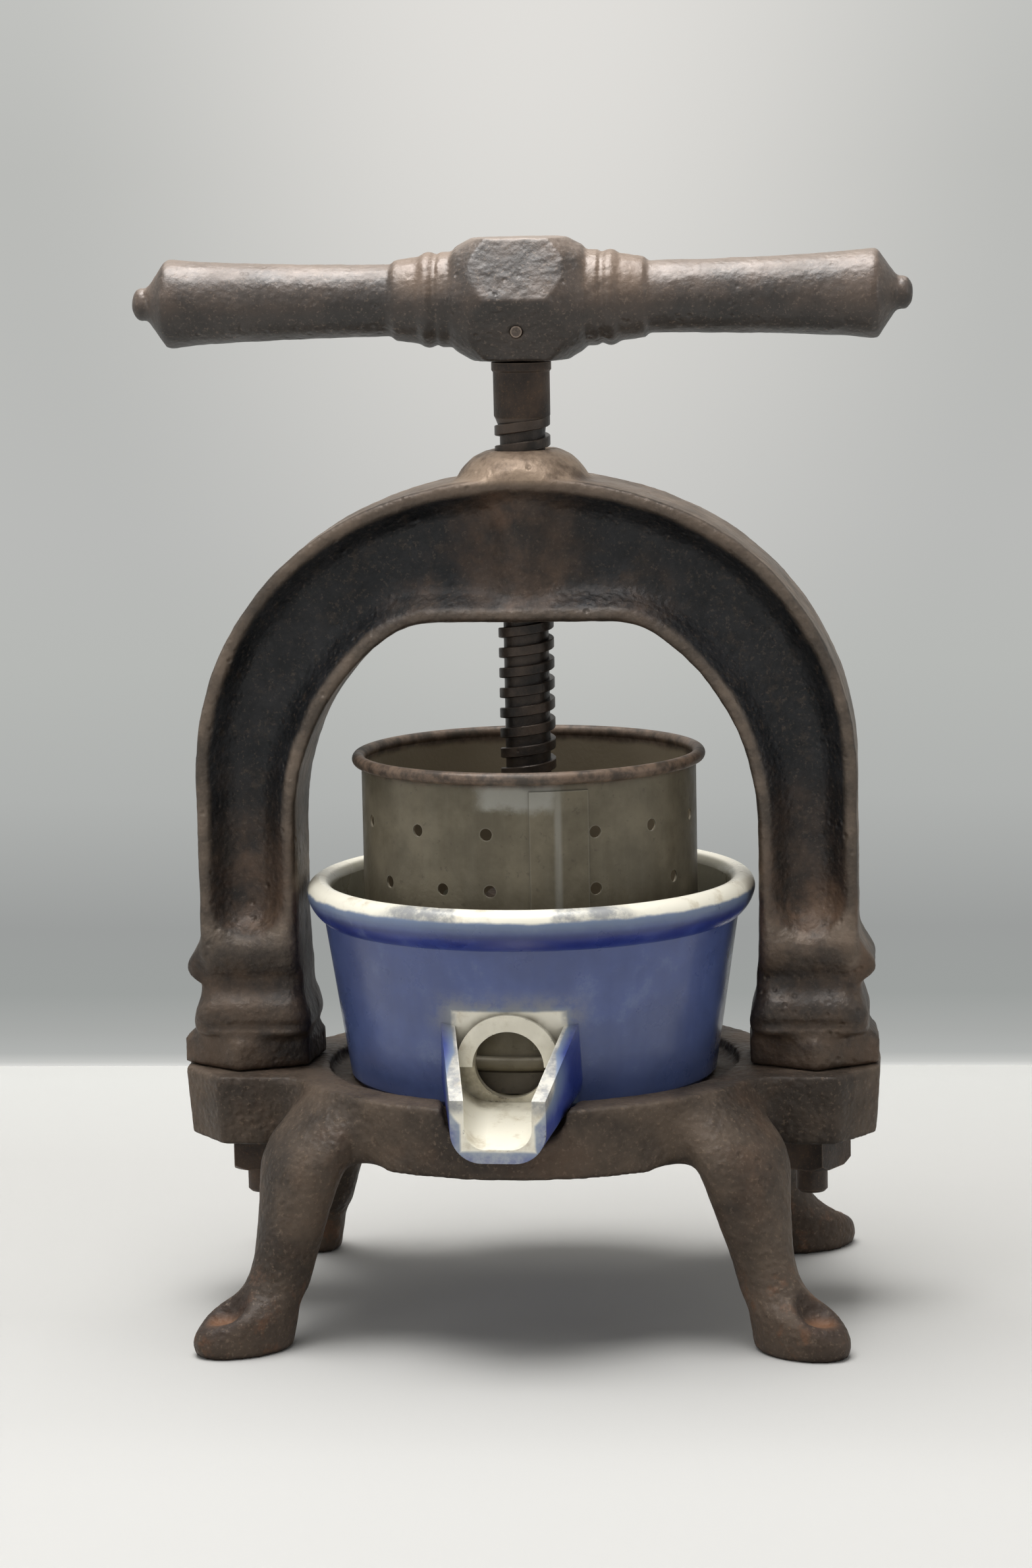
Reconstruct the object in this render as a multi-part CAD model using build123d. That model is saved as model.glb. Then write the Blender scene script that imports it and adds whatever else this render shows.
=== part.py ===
from build123d import *
import os
from math import asin, cos, pi, radians, sin, sqrt, tan

# Table fruit press: a cast arch bolted to a four-legged base, a screw with a tee handle,
# and a perforated strainer that stands in an enamelled juice pan.
# Millimetres, Z up. The spout points to -Y. Every piece is drawn about the screw's axis, and
# placed so that the origin is on the table, at the middle of the whole press.

# The screw's axis is this far behind that middle, because of the spout
screw_axis_back = 6.0

# Base casting
leg_height = 53.0
base_thickness = 21.0
ring_radius = 74.0
casting_draft = 4.0
ledge_depth = 4.0
ledge_width = 12.0
pan_play = 6.5
ear_reach = 21.0
ear_half_width = 28.5
ear_nose_half_width = 12.0
ear_nose_slope = 12.0
ear_root_fillet = 9.0
ear_corner_fillet = 3.0
base_edge_fillet = 1.2

# Legs, cast on the ring at an angle from the X axis
leg_azimuth = 37.0
toe_radius_from_axis = 117.5
toe_dish_radius = 7.6
toe_dish_from_tip = 8.8
toe_dish_height = 17.3

# Posts and arch
post_pan_gap = 1.4
post_width = 29.6
arch_depth = 36.0
arch_spring_height = 73.6
arch_opening_height = 133.2
crown_thickness = 43.0
crown_curve = 1.2
shoulder_curve = 0.87
opening_corner_fillet = 24.0
outer_flange = 3.2
inner_flange = 3.4
web_recess = 9.0
web_slope = 35.0
web_floor_fillet = 7.0
web_foot_fillet = 10.5
web_foot_height = 39.2
boss_radius = 13.0
boss_fillet = 7.0
dome_height = 7.2
dome_base_radius = 19.5
dome_top_radius = 10.5
flange_edge_fillet = 1.4

# Pads and mouldings at the foot of each post
pad_across_flats = 38.4
pad_outset = 1.1
left_pad_turn = -7.5
right_pad_turn = 2.5
pad_height = 10.2
pad_chamfer = 2.0
moulding_height = 27.0
nose_reach = 4.9
nose_height = 30.3
nose_half_depth = 15.5
nose_corner = 4.5

# Studs and nuts
stud_diameter = 9.5
stud_grip = 22.0
stud_hole_clearance = 0.5
stud_below_nut = 8.0
nut_across_flats = 17.2
nut_height = 12.0
left_nut_turn = 7.0
right_nut_turn = 61.0

# Screw
thread_diameter = 16.5
thread_clearance = 0.06
shank_diameter = 16.7
thread_above_dome = 9.8
shank_length = 16.2
head_diameter = 13.0
head_height = 27.0
journal_diameter = 12.0
journal_clearance = 0.05

# Tee handle
handle_length = 230.0
hub_across_flats = 36.0
hub_half_length = 19.0
hub_face_half_length = 8.5
hub_neck_radius = 15.3
ring_width = 4.9
ring_bead_radius = 14.1
groove_width = 1.4
groove_depth = 1.1
collar_end_radius = 11.8
grip_start = 37.9
grip_root_radius = 10.6
grip_end = 105.2
grip_end_radius = 13.2
end_cone_length = 5.6
knob_radius = 5.0
pin_diameter = 3.4
pin_height_in_hub = 9.0

# Pressing plate
strainer_gap = 1.4
plate_thickness = 6.0
plate_boss_radius = 15.0
plate_boss_height = 14.0
plate_above_strainer = 24.4
plate_recess_radius = 11.0
plate_recess_depth = 6.2
washer_thickness = 1.6
washer_radius = 10.0
washer_float = 0.3
washer_bore_clearance = 0.3
retaining_pin_diameter = 3.0

# Strainer
strainer_radius = 49.9
sheet_thickness = 0.6
strainer_height = 87.4
rim_roll_diameter = 3.8
rim_roll_inset = 0.4
foot_roll_diameter = 4.2
foot_roll_inset = 1.05
lap_angle = 20.0
lap_start = 4.5
upper_row_drop = 18.2
row_pitch = 16.6
row_count = 4
side_hole_diameter = 3.6
upper_row_angles = (-64, -36, -10, 27, 50, 76)
other_row_angles = (-51, -26, -9, 27, 62)
back_hole_count = 7
false_bottom_height = 6.6
false_bottom_thickness = 0.8
false_bottom_radius = 50.9
false_bottom_edge = 0.5
floor_hole_diameter = 4.0
floor_hole_ring_pitch = 11.5
floor_hole_rings = 3

# Juice pan
pan_foot_radius = 55.0
pan_floor_thickness = 4.0
pan_floor_round = 1.2
pan_wall = 3.4
pan_wall_slope = 8.3
pan_height = 60.3
pan_rim_radius = 67.0
pan_rim_height = 12.4
juice_hole_radius = 10.4
juice_hole_sink = 0.5
brow_width = 4.8
brow_reach = 1.4
spout_turn = -2.4
spout_reach = 85.5
spout_root_width = 43.0
spout_lip_width = 27.4
spout_wall = 4.0
spout_root_top = 29.5
spout_lip_top = 9.5
spout_lip_drop = 8.6
spout_notch_clearance = 1.2

# Heights and radii that follow from the sizes above
base_top = leg_height + base_thickness
pan_bottom = base_top - ledge_depth
pan_floor = pan_bottom + pan_floor_thickness
opening_radius = pan_foot_radius + pan_play
ledge_radius = opening_radius - ledge_width
post_half_span = pan_rim_radius + post_pan_gap + post_width / 2
pad_half_span = post_half_span + pad_outset
ear_tip = post_half_span + ear_reach
pad_top = base_top + pad_height
moulding_top = pad_top + moulding_height
inner_half_span = post_half_span - post_width / 2
outer_half_span = post_half_span + post_width / 2
spring_level = base_top + arch_spring_height
crown_under = base_top + arch_opening_height
crown_top = crown_under + crown_thickness
dome_top = crown_top + dome_height
dome_root = crown_top - 0.9 * outer_flange
web_foot = base_top + web_foot_height
thread_radius = thread_diameter / 2
screw_bore_radius = thread_radius + thread_clearance
shank_bottom = dome_top + thread_above_dome
hub_bottom = shank_bottom + shank_length
handle_level = hub_bottom + hub_across_flats / 2
hub_corner_radius = hub_across_flats / sqrt(3)
head_top = hub_bottom + head_height
handle_pin_level = hub_bottom + pin_height_in_hub
strainer_inner_radius = strainer_radius - sheet_thickness
false_bottom_top = pan_floor + false_bottom_height
plate_radius = strainer_inner_radius - strainer_gap
plate_under = false_bottom_top + plate_above_strainer
plate_top = plate_under + plate_thickness
plate_boss_top = plate_top + plate_boss_height
recess_top = plate_under + plate_recess_depth
washer_under = recess_top - washer_float - washer_thickness
retaining_pin_level = washer_under - retaining_pin_diameter / 2
strainer_top = false_bottom_top + strainer_height
rim_roll_radius = strainer_inner_radius - rim_roll_inset + rim_roll_diameter / 2
foot_roll_radius = strainer_inner_radius - foot_roll_inset + foot_roll_diameter / 2
rim_roll_level = strainer_top - rim_roll_diameter / 2
foot_roll_level = false_bottom_top + foot_roll_diameter / 2
pan_top = pan_bottom + pan_height
nut_bottom = leg_height - nut_height


def turned(points):
    # A solid of revolution about the vertical axis from (radius, height) points.
    return revolve(make_face(Polyline([(r, 0, z) for r, z in points], close=True)), Axis.Z)


def turned_about_x(points):
    # A solid of revolution about X from (along, radius) points, at the height of zero.
    return revolve(make_face(Polyline([(x, 0, r) for x, r in points], close=True)), Axis.X)


def upright_cylinder(radius, low, high, x=0.0, y=0.0):
    return Pos(x, y, (low + high) / 2) * Cylinder(radius, high - low)


def both_sides(solid):
    return solid + mirror(solid, Plane.YZ)


def pan_wall_radius(height):
    return pan_foot_radius + (height - pan_bottom) * tan(radians(pan_wall_slope))


def spout_section(reach, half_width, low, high, corner):
    # Upright section of the spout, square to its length: flat top, rounded lower corners.
    outline = Polyline(
        [(-half_width, -reach, high), (-half_width, -reach, low),
         (half_width, -reach, low), (half_width, -reach, high)], close=True)
    face = make_face(outline)
    lower = face.vertices().group_by(Axis.Z)[0]
    return fillet(lower, corner)


def spout_solid(grow=0.0, raise_top=0.0, shrink=0.0):
    # The spout's outer form, or its channel when shrunk by the wall, or its notch when grown.
    inner_reach = pan_foot_radius - 2 * pan_wall
    outer_reach = spout_reach + (raise_top if shrink or grow else 0.0)
    change = grow - shrink
    fall = (outer_reach - spout_reach) / (spout_reach - inner_reach)
    root_half = spout_root_width / 2 + change
    lip_half = spout_lip_width / 2 + change
    end_half = lip_half + (lip_half - root_half) * fall
    root_low = pan_floor - spout_wall - change
    lip_low = pan_floor - spout_lip_drop - spout_wall - change
    end_low = lip_low + (lip_low - root_low) * fall
    root_high = pan_bottom + spout_root_top + raise_top
    lip_high = pan_bottom + spout_lip_top + raise_top
    end_high = lip_high + (lip_high - root_high) * fall
    root = spout_section(inner_reach, root_half, root_low, root_high, juice_hole_radius + grow)
    lip = spout_section(outer_reach, end_half, end_low, end_high, min(9.0, end_half - 1.0))
    return Rot(0, 0, spout_turn) * loft([root, lip], ruled=True)


def base_outline():
    half = make_face(Polyline(
        [(0, -ear_half_width), (ear_tip - ear_nose_slope, -ear_half_width),
         (ear_tip, -ear_nose_half_width), (ear_tip, ear_nose_half_width),
         (ear_tip - ear_nose_slope, ear_half_width), (0, ear_half_width)], close=True))
    outline = Circle(ring_radius) + half + mirror(half, Plane.YZ)
    tip_side = ear_tip - ear_nose_slope - 1.0
    roots = [v for v in outline.vertices() if abs(v.X) < tip_side and abs(v.Y) > 1.0]
    outline = fillet(roots, ear_root_fillet)
    corners = [v for v in outline.vertices() if abs(v.X) > tip_side]
    return fillet(corners, ear_corner_fillet)


def leg():
    # Oval sections up a leg that leans out to its toe:
    # share of the leg's height, distance of the centre from the axis, radial and tangential half widths.
    stations = (
        (0.00, 101.7, 14.8, 9.7),
        (0.03, 101.6, 15.7, 10.3),
        (0.09, 101.4, 16.1, 10.6),
        (0.15, 100.3, 15.6, 10.8),
        (0.21, 98.3, 14.1, 10.7),
        (0.255, 95.4, 12.1, 10.1),
        (0.30, 92.4, 10.8, 9.3),
        (0.36, 90.0, 10.1, 8.6),
        (0.44, 88.2, 9.6, 8.6),
        (0.54, 86.6, 9.4, 9.8),
        (0.67, 84.9, 9.3, 12.4),
        (0.80, 83.3, 9.7, 15.0),
        (0.91, 82.1, 10.1, 16.8),
        (1.00, 80.9, 10.6, 18.0),
    )
    # The root runs straight back into the ring.
    root_stations = (stations[-1], (1.12, 77.2, 10.9, 18.4), (1.38, 63.4, 9.8, 17.0))
    shift = toe_radius_from_axis - stations[2][1] - stations[2][2]

    def sections(rows):
        return [Pos(centre + shift, 0, share * leg_height) * Ellipse(radial, tangential)
                for share, centre, radial, tangential in rows]

    body = loft(sections(stations)) + loft(sections(root_stations), ruled=True)
    dish = Pos(toe_radius_from_axis - toe_dish_from_tip, 0, toe_dish_height) * Sphere(toe_dish_radius)
    return body - dish


def make_base_casting():
    plate = Pos(0, 0, base_top) * extrude(base_outline(), amount=-base_thickness, taper=casting_draft)
    rims = plate.edges().filter_by(lambda e: e.center().Z > base_top - 0.01)
    plate = fillet(rims, base_edge_fillet)
    for azimuth in (leg_azimuth, 180 - leg_azimuth, 180 + leg_azimuth, -leg_azimuth):
        plate += Rot(0, 0, azimuth) * leg()
    plate -= upright_cylinder(opening_radius, pan_bottom, base_top + 10)
    plate -= upright_cylinder(ledge_radius, leg_height - 20, base_top)
    plate -= spout_solid(grow=spout_notch_clearance, raise_top=30.0)
    hole_radius = stud_diameter / 2 + stud_hole_clearance
    for side in (-1, 1):
        plate -= upright_cylinder(hole_radius, leg_height - 5, base_top + 5, side * post_half_span)
    return plate


def arch_outer_face():
    # Flat-crowned curve: a wide crown arc and two shoulder arcs that meet it and the posts smoothly.
    crown = crown_curve * outer_half_span
    shoulder = shoulder_curve * outer_half_span
    crown_centre = crown_top - crown
    shoulder_x = outer_half_span - shoulder
    shoulder_z = crown_centre + sqrt((crown - shoulder) ** 2 - shoulder_x ** 2)
    lean = asin(shoulder_x / (crown - shoulder))
    join = (crown * sin(lean), crown_centre + crown * cos(lean))
    mid = (shoulder_x + shoulder * cos((pi / 2 - lean) / 2), shoulder_z + shoulder * sin((pi / 2 - lean) / 2))

    def p(x, z):
        return (x, 0, z)

    lines = [
        ThreePointArc(p(-join[0], join[1]), p(0, crown_top), p(*join)),
        ThreePointArc(p(*join), p(*mid), p(outer_half_span, shoulder_z)),
        Line(p(outer_half_span, shoulder_z), p(outer_half_span, pad_top)),
        Line(p(outer_half_span, pad_top), p(-outer_half_span, pad_top)),
        Line(p(-outer_half_span, pad_top), p(-outer_half_span, shoulder_z)),
        ThreePointArc(p(-outer_half_span, shoulder_z), p(-mid[0], mid[1]), p(-join[0], join[1])),
    ]
    return make_face(lines)


def upright_face(width, low, high):
    # A rectangle in the arch's plane, centred on the screw.
    corners = [(-width / 2, 0, low), (width / 2, 0, low), (width / 2, 0, high), (-width / 2, 0, high)]
    return make_face(Polyline(corners, close=True))


def arch_opening_face(grow=0.0):
    # A round-headed opening, cut flat under the boss, with eased corners there.
    disc = Pos(0, 0, spring_level) * Rot(90, 0, 0) * Circle(inner_half_span)
    below = upright_face(2 * inner_half_span, base_top - 10, spring_level)
    limit = upright_face(4 * outer_half_span, base_top - 10, crown_under)
    face = (disc + below) & limit
    corners = [v for v in face.vertices() if v.Z > crown_under - 0.01]
    face = fillet(corners, opening_corner_fillet)
    return offset(face, amount=grow) if grow else face


def thick(face, depth):
    return extrude(face, amount=depth / 2, dir=(0, 1, 0), both=True)


def web_pocket():
    # The recess in the front face between the outer flange and the inner flange.
    outer = offset(arch_outer_face(), amount=-outer_flange)
    floor = upright_face(4 * outer_half_span, web_foot, crown_top)
    face = (outer - arch_opening_face(inner_flange)) & floor
    feet = [v for v in face.vertices() if v.Z < web_foot + 0.01]
    face = Pos(0, -arch_depth / 2, 0) * fillet(feet, web_foot_fillet)
    pocket = extrude(face, amount=web_recess, dir=(0, 1, 0), taper=web_slope)
    floor_level = web_recess - arch_depth / 2
    floor_edges = [e for e in pocket.edges() if e.center().Y > floor_level - 0.01]
    return fillet(floor_edges, web_floor_fillet)


def post_moulding(side):
    # Stacked rounded sections above a hexagonal pad: fillet, groove, ogee, cove and bulge.
    # Share of the moulding's height, what it adds to the post's width and depth, corner radius.
    stations = (
        (0.00, 4.6, 2.6, 7.0),
        (0.05, 5.4, 3.6, 7.0),
        (0.11, 6.0, 4.4, 7.0),
        (0.20, 5.6, 4.0, 6.5),
        (0.33, 3.6, 1.0, 6.0),
        (0.46, 1.8, -2.5, 5.5),
        (0.59, 1.6, -3.0, 5.0),
        (0.74, 1.0, -1.0, 4.0),
        (0.87, 0.4, 0.0, 3.0),
        (1.00, 0.0, 0.0, flange_edge_fillet),
    )
    sections = []
    for share, wider, deeper, corner in stations:
        place = Pos(side * post_half_span, 0, pad_top + share * moulding_height)
        sections.append(place * RectangleRounded(post_width + wider, arch_depth + deeper, corner))
    return loft(sections)


def post_nose(side):
    # A rounded nose that stands out on the post's outer face, steep below and long above.
    level = base_top + nose_height
    profile = (
        (-1.0, 10.6), (0.2, 9.2), (1.2, 7.2), (2.2, 5.4), (3.6, 3.2), (4.6, 1.4), (4.9, 0.0),
        (4.5, -1.6), (3.2, -3.0), (1.6, -4.0), (-1.0, -4.8),
    )
    x = outer_half_span - nose_reach
    front = [(side * (outer_half_span + out * nose_reach / 4.9), 0, level + up) for out, up in profile]
    back = [(side * x, 0, level + profile[-1][1]), (side * x, 0, level + profile[0][1])]
    nose = thick(make_face([Spline(*front), Polyline([front[-1]] + back + [front[0]])]), 2 * nose_half_depth)
    plan = Pos(side * outer_half_span, 0, level - 20) * extrude(
        RectangleRounded(2 * nose_reach + 1.0, 2 * nose_half_depth, nose_corner), amount=40)
    return nose & plan


def arch_web_and_flanges():
    frame = thick(arch_outer_face(), arch_depth) - thick(arch_opening_face(), arch_depth + 2)
    frame = frame & Pos(0, 0, moulding_top + crown_top) * Box(4 * crown_top, 4 * crown_top, 2 * crown_top)
    pocket = web_pocket()
    frame -= pocket
    frame -= mirror(pocket, Plane.XZ)
    rims = [e for e in frame.edges()
            if abs(abs(e.center().Y) - arch_depth / 2) < 0.01 and e.center().Z > moulding_top + 1]
    frame = fillet(rims, flange_edge_fillet)
    frame += upright_cylinder(boss_radius, crown_under, crown_top - outer_flange)
    roots = [e for e in frame.edges()
             if 3 < abs(e.center().Y) < arch_depth / 2 - 0.5
             and 5 < abs(e.center().X) < boss_radius + 1
             and crown_under + 5 < e.center().Z < crown_top - outer_flange - 4]
    return fillet(roots, boss_fillet)


def make_arch_frame():
    frame = arch_web_and_flanges()
    for side in (-1, 1):
        turn = left_pad_turn if side < 0 else right_pad_turn
        pad = Pos(side * pad_half_span, 0, base_top) * extrude(
            RegularPolygon(pad_across_flats / 2, 6, major_radius=False, rotation=30 + turn), amount=pad_height)
        pad = chamfer(pad.edges().group_by(Axis.Z)[-1], pad_chamfer)
        frame += pad
        frame += post_moulding(side)
        frame += post_nose(side)
    dome = turned([
        (0, dome_root), (dome_base_radius, dome_root), (dome_base_radius, crown_top - 0.6),
        (dome_base_radius * 0.93, crown_top + dome_height * 0.25),
        (dome_base_radius * 0.76, crown_top + dome_height * 0.72),
        (dome_top_radius, dome_top), (0, dome_top)])
    frame += dome & Pos(0, 0, dome_top) * Box(3 * dome_base_radius, arch_depth, 3 * (dome_top - dome_root))
    frame -= upright_cylinder(screw_bore_radius, crown_under - 5, dome_top + 5)
    for side in (-1, 1):
        frame -= upright_cylinder(stud_diameter / 2, base_top - 1, base_top + stud_grip, side * post_half_span)
    return frame


def make_stud(side):
    bottom = nut_bottom - stud_below_nut
    x = side * post_half_span
    stud = upright_cylinder(stud_diameter / 2, bottom, base_top + stud_grip, x)
    ends = stud.edges().filter_by(GeomType.CIRCLE)
    return chamfer(ends, 0.8)


def make_nut(side):
    turn = left_nut_turn if side < 0 else right_nut_turn
    x = side * post_half_span
    square = Rot(0, 0, turn) * Rectangle(nut_across_flats, nut_across_flats)
    body = Pos(x, 0, nut_bottom) * extrude(square, amount=nut_height)
    crown = turned([
        (0, nut_bottom), (nut_across_flats * 0.56, nut_bottom), (nut_across_flats * 0.75, nut_bottom + 2.2),
        (nut_across_flats * 0.75, leg_height), (0, leg_height)])
    body = body & Pos(x, 0, 0) * crown
    return body - upright_cylinder(stud_diameter / 2, nut_bottom - 1, leg_height + 1, x)


def make_press_screw():
    screw = turned([
        (0, retaining_pin_level - 2.4),
        (journal_diameter / 2, retaining_pin_level - 2.4),
        (journal_diameter / 2, plate_boss_top),
        (thread_radius - 1.0, plate_boss_top),
        (thread_radius, plate_boss_top + 1.0),
        (thread_radius, shank_bottom),
        (shank_diameter / 2, shank_bottom),
        (shank_diameter / 2, hub_bottom - 1.8),
        (shank_diameter / 2 + 0.5, hub_bottom - 1.4),
        (shank_diameter / 2 + 0.5, hub_bottom),
        (head_diameter / 2, hub_bottom),
        (head_diameter / 2, head_top),
        (0, head_top)])
    screw -= handle_pin_hole()
    return screw - retaining_pin_hole()


def handle_pin_hole():
    return Pos(0, 0, handle_pin_level) * Rot(90, 0, 0) * Cylinder(pin_diameter / 2, 2 * hub_across_flats)


def retaining_pin_hole():
    return Pos(0, 0, retaining_pin_level) * Rot(0, 90, 0) * Cylinder(
        retaining_pin_diameter / 2, 2 * journal_diameter)


def make_tee_handle():
    tip = handle_length / 2
    hub = Rot(0, 90, 0) * extrude(
        RegularPolygon(hub_across_flats / 2, 6, major_radius=False, rotation=30),
        amount=hub_half_length, both=True)
    cone = [(0, 0), (0, hub_corner_radius + 1), (hub_face_half_length, hub_corner_radius + 0.2),
            (hub_half_length, hub_neck_radius), (hub_half_length, 0)]
    hub = hub & both_sides(turned_about_x(cone))
    bead_start = hub_half_length + ring_width
    bead_end = bead_start + groove_width + ring_width * 0.75
    profile = [
        (0, 0), (0, ring_bead_radius - 1), (hub_half_length, ring_bead_radius - groove_depth),
        (hub_half_length, ring_bead_radius), (bead_start - 0.6, ring_bead_radius),
        (bead_start, ring_bead_radius - groove_depth),
        (bead_start + groove_width - 0.5, ring_bead_radius - groove_depth),
        (bead_start + groove_width, ring_bead_radius - 0.3),
        (bead_start + groove_width + 1.4, ring_bead_radius + 0.2),
        (bead_end - 0.6, ring_bead_radius - 0.3),
        (bead_end, ring_bead_radius - groove_depth),
        (grip_start - 0.9, collar_end_radius),
        (grip_start - 0.6, grip_root_radius - 0.3),
        (grip_start, grip_root_radius)]
    steps = 8
    for step in range(1, steps):
        # The grip is nearly straight at its root and flares towards its end.
        share = step / steps
        flare = 0.35 * share + 0.65 * share ** 3
        along = grip_start + (grip_end - grip_start) * share
        profile.append((along, grip_root_radius + (grip_end_radius - grip_root_radius) * flare))
    knob_base = grip_end + end_cone_length
    profile += [
        (grip_end - 1.6, grip_end_radius),
        (grip_end - 0.3, grip_end_radius - 0.4),
        (grip_end + 0.4, grip_end_radius - 1.4),
        (knob_base - 0.2, knob_radius * 0.94),
        (knob_base + 0.8, knob_radius),
        (tip - 2.3, knob_radius * 0.99),
        (tip - 1.2, knob_radius * 0.86),
        (tip - 0.4, knob_radius * 0.6),
        (tip, knob_radius * 0.3),
        (tip, 0)]
    handle = hub + both_sides(turned_about_x(profile))
    handle = Pos(0, 0, handle_level) * handle
    handle -= upright_cylinder(head_diameter / 2, hub_bottom - 5, head_top)
    return handle - handle_pin_hole()


def make_handle_pin():
    # The pin ends just under the hub's slanted lower facets.
    drop = handle_level - handle_pin_level
    half = (hub_across_flats / 2 - drop * 0.5) / cos(radians(30)) + 0.3
    return Pos(0, 0, handle_pin_level) * Rot(90, 0, 0) * Cylinder(pin_diameter / 2, 2 * half)


def make_press_plate():
    bore = journal_diameter / 2 + journal_clearance
    plate = turned([
        (bore, recess_top), (plate_recess_radius, recess_top), (plate_recess_radius, plate_under),
        (plate_radius - 1.0, plate_under), (plate_radius, plate_under + 1.0),
        (plate_radius, plate_top - 1.5), (plate_radius - 1.5, plate_top),
        (plate_boss_radius + 9.0, plate_top + 1.2), (plate_boss_radius + 3.0, plate_top + 4.0),
        (plate_boss_radius, plate_top + 8.0), (plate_boss_radius - 1.0, plate_boss_top - 1.2),
        (plate_boss_radius - 2.2, plate_boss_top - 0.1), (bore, plate_boss_top - 0.1)])
    return plate


def make_plate_washer():
    inner = journal_diameter / 2 + washer_bore_clearance
    return turned([
        (inner, washer_under), (washer_radius, washer_under),
        (washer_radius, washer_under + washer_thickness), (inner, washer_under + washer_thickness)])


def make_plate_pin():
    return Pos(0, 0, retaining_pin_level) * Rot(0, 90, 0) * Cylinder(
        retaining_pin_diameter / 2, 2 * washer_radius - 2)


def rolled_edge(centre_radius, level, roll):
    # A rolled edge: a bead of sheet around its wire.
    ring = Pos(0, 0, level) * Torus(centre_radius, roll / 2)
    return ring - Pos(0, 0, level) * Torus(centre_radius, roll / 2 - sheet_thickness)


def side_holes():
    # Hand-punched rows: the angles at the front are uneven, the back is evenly filled in.
    holes = []
    for row in range(row_count):
        front = upper_row_angles if row == 0 else other_row_angles
        first, last = front[0], front[-1] - 360
        step = (last - first) / (back_hole_count + 1)
        angles = list(front) + [first + step * (i + 1) for i in range(back_hole_count)]
        level = strainer_top - upper_row_drop - row * row_pitch
        for angle in angles:
            hole = Pos(0, -strainer_radius, level) * Rot(90, 0, 0) * Cylinder(side_hole_diameter / 2, 8)
            holes.append(Rot(0, 0, angle) * hole)
    return holes


def make_strainer_cylinder():
    low = foot_roll_level
    high = rim_roll_level
    shell = upright_cylinder(strainer_radius, low, high) - upright_cylinder(
        strainer_inner_radius, low - 1, high + 1)
    lap_radius = strainer_radius + sheet_thickness
    lap_low = foot_roll_level + foot_roll_diameter
    lap_high = rim_roll_level - rim_roll_diameter
    strip = turned([
        (strainer_radius - sheet_thickness / 2, lap_low), (lap_radius, lap_low),
        (lap_radius, lap_high), (strainer_radius - sheet_thickness / 2, lap_high)])
    wedge = Rot(0, 0, -90 + lap_start + lap_angle / 2) * Pos(strainer_radius, 0, (lap_low + lap_high) / 2) * Box(
        12, 2 * strainer_radius * sin(radians(lap_angle / 2)), lap_high - lap_low + 2)
    shell += strip & wedge
    shell -= Pos(0, 0, rim_roll_level) * Torus(rim_roll_radius, rim_roll_diameter / 2 - 0.2)
    shell -= Pos(0, 0, foot_roll_level) * Torus(foot_roll_radius, foot_roll_diameter / 2 - 0.2)
    shell += rolled_edge(rim_roll_radius, rim_roll_level, rim_roll_diameter)
    shell += rolled_edge(foot_roll_radius, foot_roll_level, foot_roll_diameter)
    for hole in side_holes():
        shell -= hole
    return shell


def make_wire(centre_radius, level, roll):
    return Pos(0, 0, level) * Torus(centre_radius, roll / 2 - sheet_thickness)


def make_strainer_plate():
    outer = false_bottom_radius
    inner = outer - false_bottom_thickness
    low = pan_floor
    under = false_bottom_top - false_bottom_thickness
    plate = turned([
        (0, under), (inner, under), (inner, low), (outer, low), (outer, false_bottom_top - false_bottom_edge),
        (outer - false_bottom_edge, false_bottom_top), (0, false_bottom_top)])
    places = [(0.0, 0.0)]
    for ring in range(1, floor_hole_rings + 1):
        count = 6 * ring
        for i in range(count):
            angle = 2 * pi * i / count
            places.append((ring * floor_hole_ring_pitch * cos(angle), ring * floor_hole_ring_pitch * sin(angle)))
    for x, y in places:
        plate -= upright_cylinder(floor_hole_diameter / 2, under - 1, false_bottom_top + 1, x, y)
    return plate


def pan_rim_points():
    # Key points of the rounded rim, as (radius, height), from the wall's outside over the top.
    rim_low = pan_top - pan_rim_height
    return (
        (pan_wall_radius(rim_low), rim_low),
        (pan_rim_radius - 1.1, rim_low + 0.35 * pan_rim_height),
        (pan_rim_radius, rim_low + 0.58 * pan_rim_height),
        (pan_rim_radius - 0.9, pan_top - 1.5),
        (pan_rim_radius - 3.6, pan_top),
        (pan_rim_radius - 6.0, pan_top - 0.8),
        (pan_rim_radius - 7.4, pan_top - 3.2),
    )


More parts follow.
